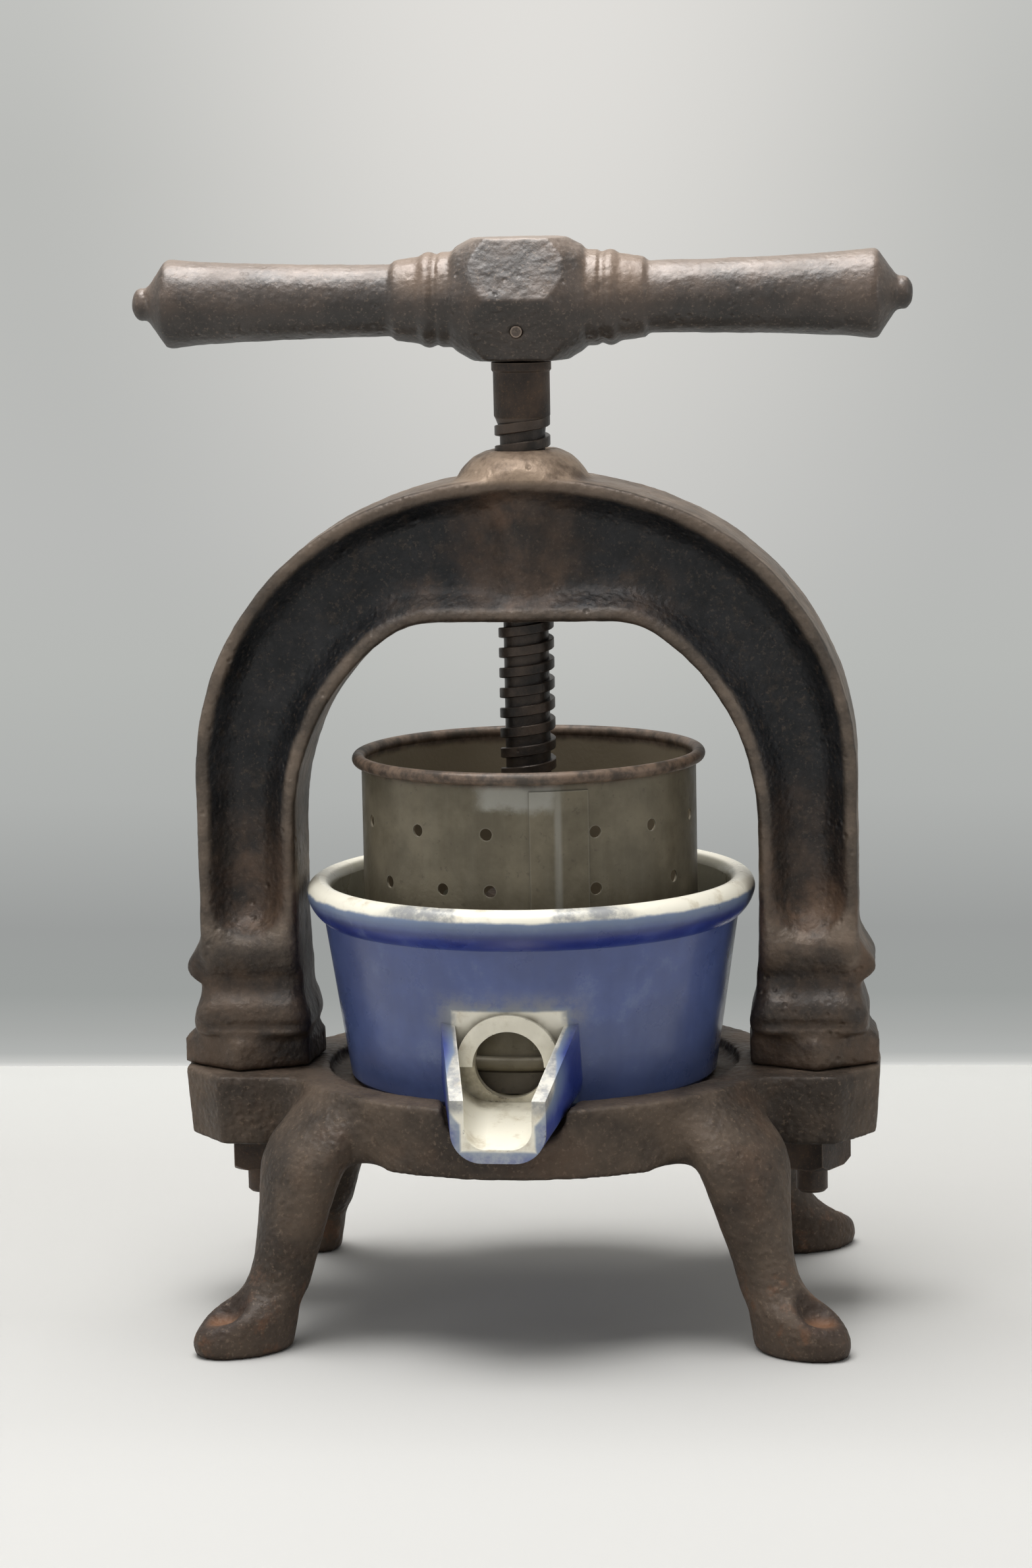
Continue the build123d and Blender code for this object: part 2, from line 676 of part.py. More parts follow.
def make_juice_pan():
    def p(radius, height):
        return (radius, 0, height)

    wall_top, under, side, shoulder, top, lip, mouth = [p(*point) for point in pan_rim_points()]
    foot = pan_foot_radius
    outer_lines = [
        Line(p(0, pan_bottom), p(foot - 1.5, pan_bottom)),
        Line(p(foot - 1.5, pan_bottom), p(foot, pan_bottom + 1.5)),
        Line(p(foot, pan_bottom + 1.5), wall_top),
        ThreePointArc(wall_top, under, side),
        ThreePointArc(side, shoulder, top),
    ]
    floor_edge = pan_wall_radius(pan_floor) - pan_wall
    inner_wall_top = p(pan_wall_radius(wall_top[2]) - pan_wall, wall_top[2])
    inner_lines = [
        ThreePointArc(top, lip, mouth),
        Line(mouth, inner_wall_top),
        Line(inner_wall_top, p(floor_edge + 0.2, pan_floor + pan_floor_round)),
        ThreePointArc(p(floor_edge + 0.2, pan_floor + pan_floor_round),
                      p(floor_edge - 0.3, pan_floor + 0.3 * pan_floor_round),
                      p(floor_edge - pan_floor_round, pan_floor)),
        Line(p(floor_edge - pan_floor_round, pan_floor), p(0, pan_floor)),
        Line(p(0, pan_floor), p(0, pan_bottom)),
    ]
    shell = revolve(make_face(outer_lines + inner_lines), Axis.Z)
    closing = [Line(top, p(0, pan_top)), Line(p(0, pan_top), p(0, pan_bottom))]
    outside = revolve(make_face(outer_lines + closing), Axis.Z)
    cavity = revolve(make_face(inner_lines[1:5] + [
        Line(p(0, pan_floor), p(0, mouth[2])), Line(p(0, mouth[2]), mouth)]), Axis.Z)

    spout = spout_solid() - spout_solid(shrink=spout_wall, raise_top=30.0) - outside
    # The hole's lowest point lies a little under the floor, so the juice runs out.
    hole_level = pan_floor + juice_hole_radius - juice_hole_sink
    front = Rot(0, 0, spout_turn)
    reach = pan_wall_radius(hole_level + juice_hole_radius + brow_width) + brow_reach
    brow = front * Pos(0, -reach / 2, hole_level) * Rot(90, 0, 0) * Cylinder(juice_hole_radius + brow_width, reach)
    brow = brow & Pos(0, 0, hole_level + reach) * Box(4 * reach, 4 * reach, 2 * reach)
    hole = front * Pos(0, -reach, hole_level) * Rot(90, 0, 0) * Cylinder(juice_hole_radius, reach)
    return shell + spout + (brow - cavity) - hole


pieces = {
    "base_casting": make_base_casting,
    "arch_frame": make_arch_frame,
    "left_stud": lambda: make_stud(-1),
    "right_stud": lambda: make_stud(1),
    "left_nut": lambda: make_nut(-1),
    "right_nut": lambda: make_nut(1),
    "press_screw": make_press_screw,
    "tee_handle": make_tee_handle,
    "handle_pin": make_handle_pin,
    "press_plate": make_press_plate,
    "plate_washer": make_plate_washer,
    "plate_pin": make_plate_pin,
    "strainer_cylinder": make_strainer_cylinder,
    "strainer_top_wire": lambda: make_wire(rim_roll_radius, rim_roll_level, rim_roll_diameter),
    "strainer_bottom_wire": lambda: make_wire(foot_roll_radius, foot_roll_level, foot_roll_diameter),
    "strainer_plate": make_strainer_plate,
    "juice_pan": make_juice_pan,
}

os.makedirs("parts", exist_ok=True)
for name, make in pieces.items():
    solid = Pos(0, screw_axis_back, 0) * make()
    export_step(solid, f"parts/{name}.step")
    print(name, round(solid.volume), len(solid.solids()))
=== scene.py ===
import bpy
import math
from mathutils import Vector, Matrix


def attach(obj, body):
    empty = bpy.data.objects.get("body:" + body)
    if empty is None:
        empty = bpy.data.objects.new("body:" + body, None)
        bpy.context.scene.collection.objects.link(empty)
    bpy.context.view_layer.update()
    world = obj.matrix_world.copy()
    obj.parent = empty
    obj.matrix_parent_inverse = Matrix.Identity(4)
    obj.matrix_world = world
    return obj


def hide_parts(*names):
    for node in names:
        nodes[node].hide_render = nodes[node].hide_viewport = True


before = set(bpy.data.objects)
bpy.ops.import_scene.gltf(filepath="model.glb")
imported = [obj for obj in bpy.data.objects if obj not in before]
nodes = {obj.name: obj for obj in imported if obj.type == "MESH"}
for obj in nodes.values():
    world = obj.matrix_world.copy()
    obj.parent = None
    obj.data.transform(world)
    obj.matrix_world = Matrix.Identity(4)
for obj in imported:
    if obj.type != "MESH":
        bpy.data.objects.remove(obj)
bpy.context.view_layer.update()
axisY = 0.006                       # the screw's axis, behind the middle of the press
print("stage: frame loaded,", len(nodes), "nodes")


# small helpers

def colour(hexCode, alpha=1.0):
    # a screen colour such as "#4b3e36" as Blender's linear numbers
    parts = [int(hexCode[i:i + 2], 16) / 255 for i in (1, 3, 5)]
    linear = [p / 12.92 if p <= 0.04045 else ((p + 0.055) / 1.055) ** 2.4 for p in parts]
    return (*linear, alpha)


def clearSelection():
    if bpy.context.object and bpy.context.object.mode != "OBJECT":
        bpy.ops.object.mode_set(mode="OBJECT")
    bpy.ops.object.select_all(action="DESELECT")


def makeActive(piece):
    clearSelection()
    bpy.context.view_layer.objects.active = piece
    piece.select_set(True)


def addPlane(name, size=1.0, location=(0, 0, 0)):
    clearSelection()
    bpy.ops.mesh.primitive_plane_add(size=size, location=location)
    piece = bpy.context.object
    piece.name = name
    piece.data.name = name
    return piece


def applyAll(piece):
    makeActive(piece)
    for modifier in list(piece.modifiers):
        bpy.ops.object.modifier_apply(modifier=modifier.name)
    bpy.ops.object.transform_apply(location=True, rotation=True, scale=True)


def smoothShade(piece, degrees):
    makeActive(piece)
    bpy.ops.object.shade_smooth_by_angle(angle=math.radians(degrees))


def plug(tree, socket, value):
    # a link where the value comes out of a node
    if isinstance(value, bpy.types.NodeSocket):
        tree.links.new(value, socket)
    else:
        socket.default_value = value


def feed(tree, node, **values):
    for key, value in values.items():
        plug(tree, node.inputs[key.replace("_", " ")], value)
    return node


def newNode(tree, kind, **values):
    return feed(tree, tree.nodes.new(kind), **values)


def maths(tree, operation, first, second=None, clamp=False):
    node = tree.nodes.new("ShaderNodeMath")
    node.operation = operation
    node.use_clamp = clamp
    plug(tree, node.inputs[0], first)
    if second is not None:
        plug(tree, node.inputs[1], second)
    return node.outputs[0]


def vectorMaths(tree, operation, first, second):
    node = tree.nodes.new("ShaderNodeVectorMath")
    node.operation = operation
    plug(tree, node.inputs[0], first)
    plug(tree, node.inputs["Scale" if operation == "SCALE" else 1], second)
    return node.outputs


def splitUp(tree, vector):
    parts = tree.nodes.new("ShaderNodeSeparateXYZ")
    tree.links.new(vector, parts.inputs[0])
    return parts.outputs


def chain(operation):
    # a function that joins two or more values, one node after another
    def join(tree, *values):
        result = values[0]
        for value in values[1:]:
            result = maths(tree, operation, result, value)
        return result
    return join


times, plus, minus = chain("MULTIPLY"), chain("ADD"), chain("SUBTRACT")
larger, smaller = chain("MAXIMUM"), chain("MINIMUM")


def unsigned(tree, value):
    return maths(tree, "ABSOLUTE", value)


def millimetres(tree, value):
    return times(tree, value, 1000.0)


def apart(tree, first, second):
    # how far from nought along two axes
    return maths(tree, "SQRT", plus(tree, times(tree, first, first), times(tree, second, second)))


def ramp(tree, value, low, high, outLow=0.0, outHigh=1.0):
    # a smooth step from low to high
    node = tree.nodes.new("ShaderNodeMapRange")
    node.interpolation_type = "SMOOTHSTEP"
    feed(tree, node, Value=value, From_Min=low, From_Max=high, To_Min=outLow, To_Max=outHigh)
    return node.outputs["Result"]


def mixColour(tree, share, first, second):
    node = tree.nodes.new("ShaderNodeMix")
    node.data_type = "RGBA"
    for index, value in ((0, share), (6, first), (7, second)):
        plug(tree, node.inputs[index], value)
    return node.outputs[2]


def paint(tree, body, amount, tone):
    # more of one screen colour over the body
    return mixColour(tree, amount, body, colour(tone))


def noise(tree, place, scale, detail=4.0, roughness=0.55):
    return newNode(tree, "ShaderNodeTexNoise", Vector=place, Scale=scale, Detail=detail,
                   Roughness=roughness).outputs[0]


def wobble(tree, place, grain, span):
    # noise about nought, for borders that wander
    return times(tree, minus(tree, noise(tree, place, *grain), 0.5), span)


def patchy(tree, place, patch):
    # patches of noise: (scale, detail, roughness) through the step that a ramp takes
    grain, step = patch
    return ramp(tree, noise(tree, place, *grain), *step)


def twoTone(tree, place, patch, tones):
    return mixColour(tree, patchy(tree, place, patch), colour(tones[0]), colour(tones[1]))


def normalParts(tree):
    return splitUp(tree, tree.nodes.new("ShaderNodeNewGeometry").outputs["Normal"])


def newMaterial(name):
    material = bpy.data.materials.new(name)
    material.use_nodes = True
    tree = material.node_tree
    tree.nodes.clear()
    shader = tree.nodes.new("ShaderNodeBsdfPrincipled")
    output = tree.nodes.new("ShaderNodeOutputMaterial")
    tree.links.new(shader.outputs[0], output.inputs["Surface"])
    coordinates = tree.nodes.new("ShaderNodeTexCoord")
    return material, tree, shader, coordinates.outputs["Object"]


def axisPlace(tree, place, turn=0.0):
    # the place measured from the screw's axis, turned about it where asked
    node = tree.nodes.new("ShaderNodeMapping")
    node.vector_type = "TEXTURE"
    feed(tree, node, Vector=place, Location=(0, axisY, 0), Rotation=(0, 0, turn))
    return splitUp(tree, node.outputs[0])


# effects that several finishes share

grainForm = {
    "pitScale": 260.0, "pitStep": (0.0, 0.34, 1.0, 0.0), "pitPatch": ((60.0, 2.0), (0.52, 0.64)),
    "peel": (520.0, 3.0, 0.6), "peelHigh": 0.55, "swell": (95.0, 3.0, 0.5), "swellHigh": 0.9,
    "leatherScale": 560.0, "leatherPush": (300.0, 2.0), "pushSpan": 0.0012,
    "blotch": ((38.0, 6.0, 0.62), (0.36, 0.66)), "speck": ((900.0, 2.0, 0.7), (0.55, 0.72)),
}
wearForm = {"samples": 6, "gain": 3.2, "grain": (240.0, 5.0, 0.7), "grainShare": 0.5, "step": (0.38, 0.72)}
creviceForm = {"samples": 6, "step": (0.35, 0.9, 1.0, 0.0)}


def makeGroup(name, inputs, outputs):
    # inputs with their usual numbers, or none for a vector
    tree = bpy.data.node_groups.new(name, "ShaderNodeTree")
    for label, value in inputs.items():
        kind = "NodeSocketVector" if value is None else "NodeSocketFloat"
        socket = tree.interface.new_socket(name=label, in_out="INPUT", socket_type=kind)
        if value is not None:
            socket.default_value = value
    for label in outputs:
        tree.interface.new_socket(name=label, in_out="OUTPUT", socket_type="NodeSocketFloat")
    return tree, tree.nodes.new("NodeGroupInput").outputs, tree.nodes.new("NodeGroupOutput")


def makeCastGrain(look):
    # the orange-peel skin of sand-cast iron, with a few pits
    tree, given, out = makeGroup("castGrain", {"Place": None, "Grain Size": 1.0, "Pits": 0.5, "Leather": 0.5},
                                 ("Height", "Blotch", "Speck"))
    place = vectorMaths(tree, "SCALE", given["Place"], given["Grain Size"])[0]
    peel = times(tree, noise(tree, place, *look["peel"]), look["peelHigh"])
    swell = times(tree, noise(tree, place, *look["swell"]), look["swellHigh"])
    pits = newNode(tree, "ShaderNodeTexVoronoi", Vector=place, Scale=look["pitScale"])
    depth = times(tree, ramp(tree, pits.outputs["Distance"], *look["pitStep"]),
                  patchy(tree, place, look["pitPatch"]), given["Pits"])
    leather = tree.nodes.new("ShaderNodeTexVoronoi")
    leather.feature = "SMOOTH_F1"
    push = times(tree, noise(tree, place, *look["leatherPush"]), look["pushSpan"])
    feed(tree, leather, Vector=vectorMaths(tree, "ADD", place, push)[0], Scale=look["leatherScale"])
    grain = times(tree, leather.outputs["Distance"], given["Leather"])
    feed(tree, out, Height=minus(tree, plus(tree, peel, swell), grain, depth),
         Blotch=patchy(tree, place, look["blotch"]), Speck=patchy(tree, place, look["speck"]))
    return tree


def makeEdgeWear(look):
    # where corners are rubbed bare: the rounded normal leaves the true one there
    tree, given, out = makeGroup("edgeWear", {"Place": None, "Width": 0.0016, "Amount": 1.0}, ("Mask",))
    bevel = newNode(tree, "ShaderNodeBevel", Radius=given["Width"])
    bevel.samples = look["samples"]
    normal = tree.nodes.new("ShaderNodeNewGeometry").outputs["Normal"]
    facing = vectorMaths(tree, "DOT_PRODUCT", bevel.outputs[0], normal)["Value"]
    level = plus(tree, times(tree, minus(tree, 1.0, facing), look["gain"]),
                 times(tree, noise(tree, given["Place"], *look["grain"]), look["grainShare"]))
    feed(tree, out, Mask=maths(tree, "MULTIPLY", ramp(tree, level, *look["step"]), given["Amount"], True))
    return tree


def makeCrevice(look):
    # painted shade in corners: darker where ambient occlusion finds the surface closed in
    tree, given, out = makeGroup("creviceShade", {"Reach": 0.008}, ("Mask",))
    shade = newNode(tree, "ShaderNodeAmbientOcclusion", Distance=given["Reach"])
    shade.only_local = True
    shade.samples = look["samples"]
    feed(tree, out, Mask=ramp(tree, shade.outputs["AO"], *look["step"]))
    return tree


castGrain = makeCastGrain(grainForm)
edgeWear = makeEdgeWear(wearForm)
creviceShade = makeCrevice(creviceForm)


def useGroup(tree, group, **values):
    node = tree.nodes.new("ShaderNodeGroup")
    node.node_tree = group
    return feed(tree, node, **values).outputs


def finishBump(tree, shader, height, distance):
    bump = newNode(tree, "ShaderNodeBump", Strength=1.0, Distance=distance, Height=height)
    feed(tree, shader, Normal=bump.outputs[0])


# cast iron, in the tones of each casting

ironGrain = {"rust": (27.0, 7.0, 0.68), "rustStep": (0.5, 0.74), "rough": (70.0, 5.0, 0.65),
             "roughStep": (0.3, 0.7), "coatRoughness": 0.3}


def castIron(name, look):
    material, tree, shader, place = newMaterial(name)
    x, y, z = axisPlace(tree, place)
    skin = useGroup(tree, castGrain, Place=place, Grain_Size=look["grainSize"], Pits=look["pits"],
                    Leather=look["leather"])
    wear = useGroup(tree, edgeWear, Place=place, Width=look["wearWidth"], Amount=look["wear"])
    paintedShade = useGroup(tree, creviceShade, Reach=look["cornerShadeReach"])
    body = mixColour(tree, skin["Blotch"], colour(look["dark"]), colour(look["light"]))
    rust = ramp(tree, noise(tree, place, *ironGrain["rust"]), *ironGrain["rustStep"], 0.0, look["rustAmount"])
    body = paint(tree, body, rust, look["rust"])
    if look["region"]:
        body = look["region"](tree, body, x, y, z, place)
    speck = times(tree, skin["Speck"], look["speck"])
    body = paint(tree, body, speck, look["speckTone"])
    body = paint(tree, body, wear["Mask"], look["worn"])
    # painted shade: the ambient occlusion mask darkens corners and recesses
    cornerShade = times(tree, paintedShade["Mask"], look["paintedShade"])
    body = paint(tree, body, cornerShade, look["cornerShade"])
    rough = ramp(tree, noise(tree, place, *ironGrain["rough"]), *ironGrain["roughStep"], *look["roughness"])
    feed(tree, shader, Base_Color=body, Roughness=rough, Metallic=look["metallic"],
         Specular_IOR_Level=look["specular"], Coat_Weight=look["coat"],
         Coat_Roughness=ironGrain["coatRoughness"])
    finishBump(tree, shader, skin["Height"], look["bump"])
    return material


# how a casting's tone changes over its form: steps along millimetres or along a part of the normal

archZones = {
    "wander": (60.0, 6.0, 0.66), "depthWander": 2.4, "levelWander": 62.0, "acrossWander": 34.0,
    "rim": (15.6, 18.2, 0.0, 0.85), "side": (0.18, 0.42, 1.0, 0.0), "low": (104.0, 168.0, 1.0, 0.0),
    "boss": (3.0, 26.0, 0.55, 0.0), "underLevel": (200.0, 226.0, 0.75, 0.0),
    "underAcross": (16.0, 50.0, 1.0, 0.0), "crown": (205.0, 262.0, 0.0, 0.5), "domeLevel": (247.4, 249.6),
    "domeAcross": (19.0, 34.0, 1.0, 0.0), "foot": (98.0, 124.0, 0.9, 0.0),
    "webPatch": ((95.0, 7.0, 0.72), (0.38, 0.66)),
    "fleckPatch": ((210.0, 6.0, 0.72), (0.54, 0.68, 0.0, 0.55)),
    "brownPatch": ((48.0, 7.0, 0.7), (0.34, 0.66)), "spotPatch": ((33.0, 6.0, 0.66), (0.52, 0.68, 0.0, 0.7)),
    "tanPatch": ((52.0, 7.0, 0.68), (0.34, 0.66)), "domePatch": ((60.0, 6.0, 0.66), (0.38, 0.58)),
    "footPatch": ((48.0, 7.0, 0.7), (0.36, 0.62)),
    "webTones": ("#0e1013", "#212123"), "fleckTone": "#3d342c", "brownTones": ("#2e2823", "#6a5443"),
    "spotTone": "#80614a", "tanTones": ("#4b4239", "#7a6b5d"), "crownTone": "#7c6a5b",
    "domeTones": ("#5d4c3e", "#a08b77"), "footTones": ("#2c2622", "#524336"),
}
dishAt = (0.0868, 0.0654)           # a toe's dish from the screw's axis, to the side and to the front or back
baseZones = {
    "wander": (70.0, 5.0, 0.6), "levelWander": 16.0, "toe": (8.0, 27.0, 0.5, 0.0),
    "rustLevel": (14.0, 30.0, 1.0, 0.0), "rustPatch": ((150.0, 6.0, 0.7), (0.5, 0.66, 0.0, 0.55)),
    "dish": (6.8, 9.0, 0.75, 0.0), "dishLevel": (20.0, 26.0, 1.0, 0.0), "dishRing": (2.0, 6.0),
    "under": (-0.75, -0.2, 0.6, 0.0), "toeTone": "#483a2f", "rustTone": "#6b4a34",
    "dishRustAndRimShade": ("#7c583f", "#2c2019"), "undersideShadeTone": "#241d18",
}
handleZones = {
    "wander": (75.0, 6.0, 0.68), "leanWander": 0.9, "rubbedAndHighlight": (0.5, 1.05, 0.0, 0.6),
    "grip": (18.0, 34.0, 1.3, 1.0), "ringFrom": (17.0, 22.0), "ringTo": (34.0, 40.0, 1.0, 0.0),
    "ringLean": (-0.2, 0.6, 0.0, 0.5), "under": (-0.8, 0.4, 0.85, 0.0), "rubbedAndHighlightTone": "#8d7d70",
    "ringTone": "#7d6754", "undersideShadeTone": "#1a1714",
}


def archRegion(tree, body, x, y, z, place):
    # the recessed web is blue-black, rims and side faces tan, the boss and the low posts rusty
    look = archZones
    spread = wobble(tree, place, look["wander"], 1.0)
    level = plus(tree, millimetres(tree, z), times(tree, spread, look["levelWander"]))
    across = plus(tree, millimetres(tree, unsigned(tree, x)), times(tree, spread, look["acrossWander"]))
    depth = plus(tree, millimetres(tree, unsigned(tree, y)), times(tree, spread, look["depthWander"]))
    side = ramp(tree, unsigned(tree, normalParts(tree)[1]), *look["side"])
    under = times(tree, ramp(tree, level, *look["underLevel"]), ramp(tree, across, *look["underAcross"]))
    dome = times(tree, ramp(tree, millimetres(tree, z), *look["domeLevel"]),
                 ramp(tree, across, *look["domeAcross"]))
    web = twoTone(tree, place, look["webPatch"], look["webTones"])
    web = paint(tree, web, patchy(tree, place, look["fleckPatch"]), look["fleckTone"])
    brown = twoTone(tree, place, look["brownPatch"], look["brownTones"])
    brown = paint(tree, brown, patchy(tree, place, look["spotPatch"]), look["spotTone"])
    tan = twoTone(tree, place, look["tanPatch"], look["tanTones"])
    tan = paint(tree, tan, ramp(tree, level, *look["crown"]), look["crownTone"])
    tan = mixColour(tree, dome, tan, twoTone(tree, place, look["domePatch"], look["domeTones"]))
    rusty = larger(tree, ramp(tree, level, *look["low"]), ramp(tree, across, *look["boss"]), under)
    body = mixColour(tree, rusty, web, brown)
    body = mixColour(tree, larger(tree, ramp(tree, depth, *look["rim"]), side, dome), body, tan)
    # the moulded foot of each post is patched in two dark browns
    foot = twoTone(tree, place, look["footPatch"], look["footTones"])
    return mixColour(tree, ramp(tree, level, *look["foot"]), body, foot)


def baseRegion(tree, body, x, y, z, place):
    # rusty toes, rust in the middle of each dish with a painted shade round it, and painted shade on every
    # face that looks down
    look = baseZones
    level = plus(tree, millimetres(tree, z), wobble(tree, place, look["wander"], look["levelWander"]))
    body = paint(tree, body, ramp(tree, level, *look["toe"]), look["toeTone"])
    rusty = times(tree, patchy(tree, place, look["rustPatch"]), ramp(tree, level, *look["rustLevel"]))
    body = paint(tree, body, rusty, look["rustTone"])
    away = millimetres(tree, apart(tree, minus(tree, unsigned(tree, x), dishAt[0]),
                                   minus(tree, unsigned(tree, y), dishAt[1])))
    hollow = times(tree, ramp(tree, away, *look["dish"]), ramp(tree, level, *look["dishLevel"]))
    # rust in the middle of each dish; the darker ring round it is painted shade under the dish's rim
    middle, ring = look["dishRustAndRimShade"]
    dish = mixColour(tree, ramp(tree, away, *look["dishRing"]), colour(middle), colour(ring))
    body = mixColour(tree, hollow, body, dish)
    # painted shade on faces that look down
    return paint(tree, body, ramp(tree, normalParts(tree)[2], *look["under"]), look["undersideShadeTone"])


def handleRegion(tree, body, x, y, z, place):
    # the upper sides are pale tan, rubbed by hands and a painted highlight from the light above; the rings
    # brown, paler on their upper faces where light is painted; the undersides painted dark as shade
    look = handleZones
    lean = plus(tree, normalParts(tree)[2], wobble(tree, place, look["wander"], look["leanWander"]))
    across = millimetres(tree, unsigned(tree, x))
    # painted highlight on the upper sides, over tan that hands have rubbed
    rubbedAndHighlight = times(tree, ramp(tree, lean, *look["rubbedAndHighlight"]), ramp(tree, across, *look["grip"]))
    body = paint(tree, body, rubbedAndHighlight, look["rubbedAndHighlightTone"])
    # brown rings, stronger on their upper faces: partly painted light
    rings = times(tree, ramp(tree, across, *look["ringFrom"]), ramp(tree, across, *look["ringTo"]))
    rings = times(tree, rings, ramp(tree, lean, *look["ringLean"]))
    body = paint(tree, body, rings, look["ringTone"])
    # painted shade on the undersides
    return paint(tree, body, ramp(tree, lean, *look["under"]), look["undersideShadeTone"])


ironCommon = {
    "speck": 0.25, "wear": 0.4, "wearWidth": 0.0012, "paintedShade": 0.5, "grainSize": 1.0, "pits": 1.0,
    "leather": 0.4, "specular": 0.5, "metallic": 0.3, "coat": 0.0, "rustAmount": 0.4, "region": None,
}
ironLooks = {
    "arch": {
        "dark": "#1d1e20", "light": "#2e2b28", "worn": "#93806e", "cornerShade": "#100e0c", "rust": "#4a372b",
        "speckTone": "#6f6053", "wearWidth": 0.0011, "cornerShadeReach": 0.006, "leather": 0.5, "bump": 0.0005,
        "roughness": (0.42, 0.62), "specular": 0.45, "coat": 0.04, "rustAmount": 0.3, "region": archRegion},
    "base": {
        "dark": "#332b24", "light": "#5a4d41", "worn": "#8a7766", "cornerShade": "#17120f", "rust": "#5f4837",
        "speckTone": "#857260", "speck": 0.3, "wear": 0.35, "wearWidth": 0.0013, "cornerShadeReach": 0.007,
        "grainSize": 0.9, "pits": 0.8, "leather": 1.0, "bump": 0.0005, "roughness": (0.52, 0.72),
        "specular": 0.35, "metallic": 0.15, "rustAmount": 0.45, "region": baseRegion},
    "handle": {
        "dark": "#2f2823", "light": "#594b41", "worn": "#c4ae9a", "cornerShade": "#120e0c", "rust": "#66503f",
        "speckTone": "#9a8675", "wear": 0.6, "paintedShade": 0.7, "cornerShadeReach": 0.004, "grainSize": 1.1,
        "bump": 0.00042, "roughness": (0.38, 0.56), "specular": 0.6, "metallic": 0.15, "coat": 0.22,
        "rustAmount": 0.45, "region": handleRegion},
    "plate": {
        "dark": "#2a2420", "light": "#463b32", "worn": "#7b6a5b", "cornerShade": "#15110e", "rust": "#4d392d",
        "speckTone": "#6f5d4e", "speck": 0.2, "paintedShade": 0.4, "cornerShadeReach": 0.005, "pits": 0.5,
        "bump": 0.00025, "roughness": (0.42, 0.6)},
    "fixings": {
        "dark": "#2a231e", "light": "#4a3b30", "worn": "#8a7766", "cornerShade": "#130f0c", "rust": "#5a4130",
        "speckTone": "#7a5a40", "speck": 0.3, "wearWidth": 0.0009, "paintedShade": 0.4, "cornerShadeReach": 0.003,
        "grainSize": 1.6, "pits": 0.6, "leather": 0.3, "bump": 0.00016, "roughness": (0.45, 0.62),
        "metallic": 0.4, "rustAmount": 0.5},
    "screw": {
        "dark": "#1f1b18", "light": "#4a3e35", "worn": "#6a5c50", "cornerShade": "#090706", "rust": "#46362b",
        "speckTone": "#5f4938", "speck": 0.22, "wear": 0.5, "wearWidth": 0.0007, "paintedShade": 0.95,
        "cornerShadeReach": 0.003, "grainSize": 1.8, "pits": 0.4, "leather": 0.2, "bump": 0.00012,
        "roughness": (0.3, 0.48), "specular": 0.55, "metallic": 0.45},
}
irons = {name: castIron("iron_" + name, {**ironCommon, **look}) for name, look in ironLooks.items()}
print("stage: cast iron finishes")


# tinned sheet of the strainer

sheetZones = {
    "blotch": ((55.0, 6.0, 0.62), (0.33, 0.7)), "drawn": (1.0, 1.0, 0.12),
    "streak": ((260.0, 4.0, 0.6), (0.45, 0.75, 0.0, 0.22)),
    "spot": ((420.0, 4.0, 0.7), (0.6, 0.7, 0.0, 0.45)), "front": (-20.0, -30.0),
    "wander": (150.0, 6.0, 0.7), "wanderSpan": 7.0, "smearAt": 1.0,
    "smear": (8.0, 14.5, 0.75, 0.0), "smearLevel": (155.5, 159.0), "lapAt": 12.2, "lap": (0.3, 1.6, 0.4, 0.0),
    "lapPatch": ((120.0, 4.0, 0.6), (0.4, 0.6)), "within": (49.4, 49.7, 0.85, 0.0), "rimGrain": (90.0, 4.0),
    "rimWander": 3.0, "rim": 0.9, "rimPatch": ((200.0, 5.0, 0.65), (0.35, 0.65)),
    "rimTones": ("#33271f", "#6e5a4b"), "burrWidth": 0.0008, "burr": 0.4, "cornerShadeReach": 0.003, "paintedShade": 0.3,
    "cornerShadeTone": "#1d1813", "rough": ((80.0, 4.0, 0.6), (0.3, 0.7, 0.4, 0.6)), "dents": (24.0, 2.0),
    "dent": 2.0, "grains": (700.0, 3.0), "grain": 0.12, "bump": 0.0006,
}
sheetLook = {"dark": "#575040", "light": "#716957", "streak": "#767060", "spot": "#403a30",
             "solder": "#a09f97", "burr": "#8f8b7e", "rustFrom": 164.0, "rustTo": 166.4, "metallic": 0.2,
             "inner": "#9a8d76"}
floorLook = {"dark": "#2c2620", "light": "#4d463b", "streak": "#564f44", "spot": "#2a241d", "solder": "",
             "burr": "#6e6556", "rustFrom": 300.0, "rustTo": 301.0, "metallic": 0.3, "inner": "#4a4237"}


def solderMask(tree, place, drawn, xmm, ymm, zmm, zones):
    # a grey smear of solder under the rim, and the run of it along the lap
    wander = wobble(tree, place, zones["wander"], zones["wanderSpan"])
    away = unsigned(tree, plus(tree, minus(tree, xmm, zones["smearAt"]), wander))
    smear = times(tree, ramp(tree, away, *zones["smear"]),
                  ramp(tree, plus(tree, zmm, wander), *zones["smearLevel"]))
    lap = times(tree, ramp(tree, unsigned(tree, minus(tree, xmm, zones["lapAt"])), *zones["lap"]),
                patchy(tree, drawn, zones["lapPatch"]))
    return times(tree, larger(tree, smear, lap), ramp(tree, ymm, *zones["front"]))


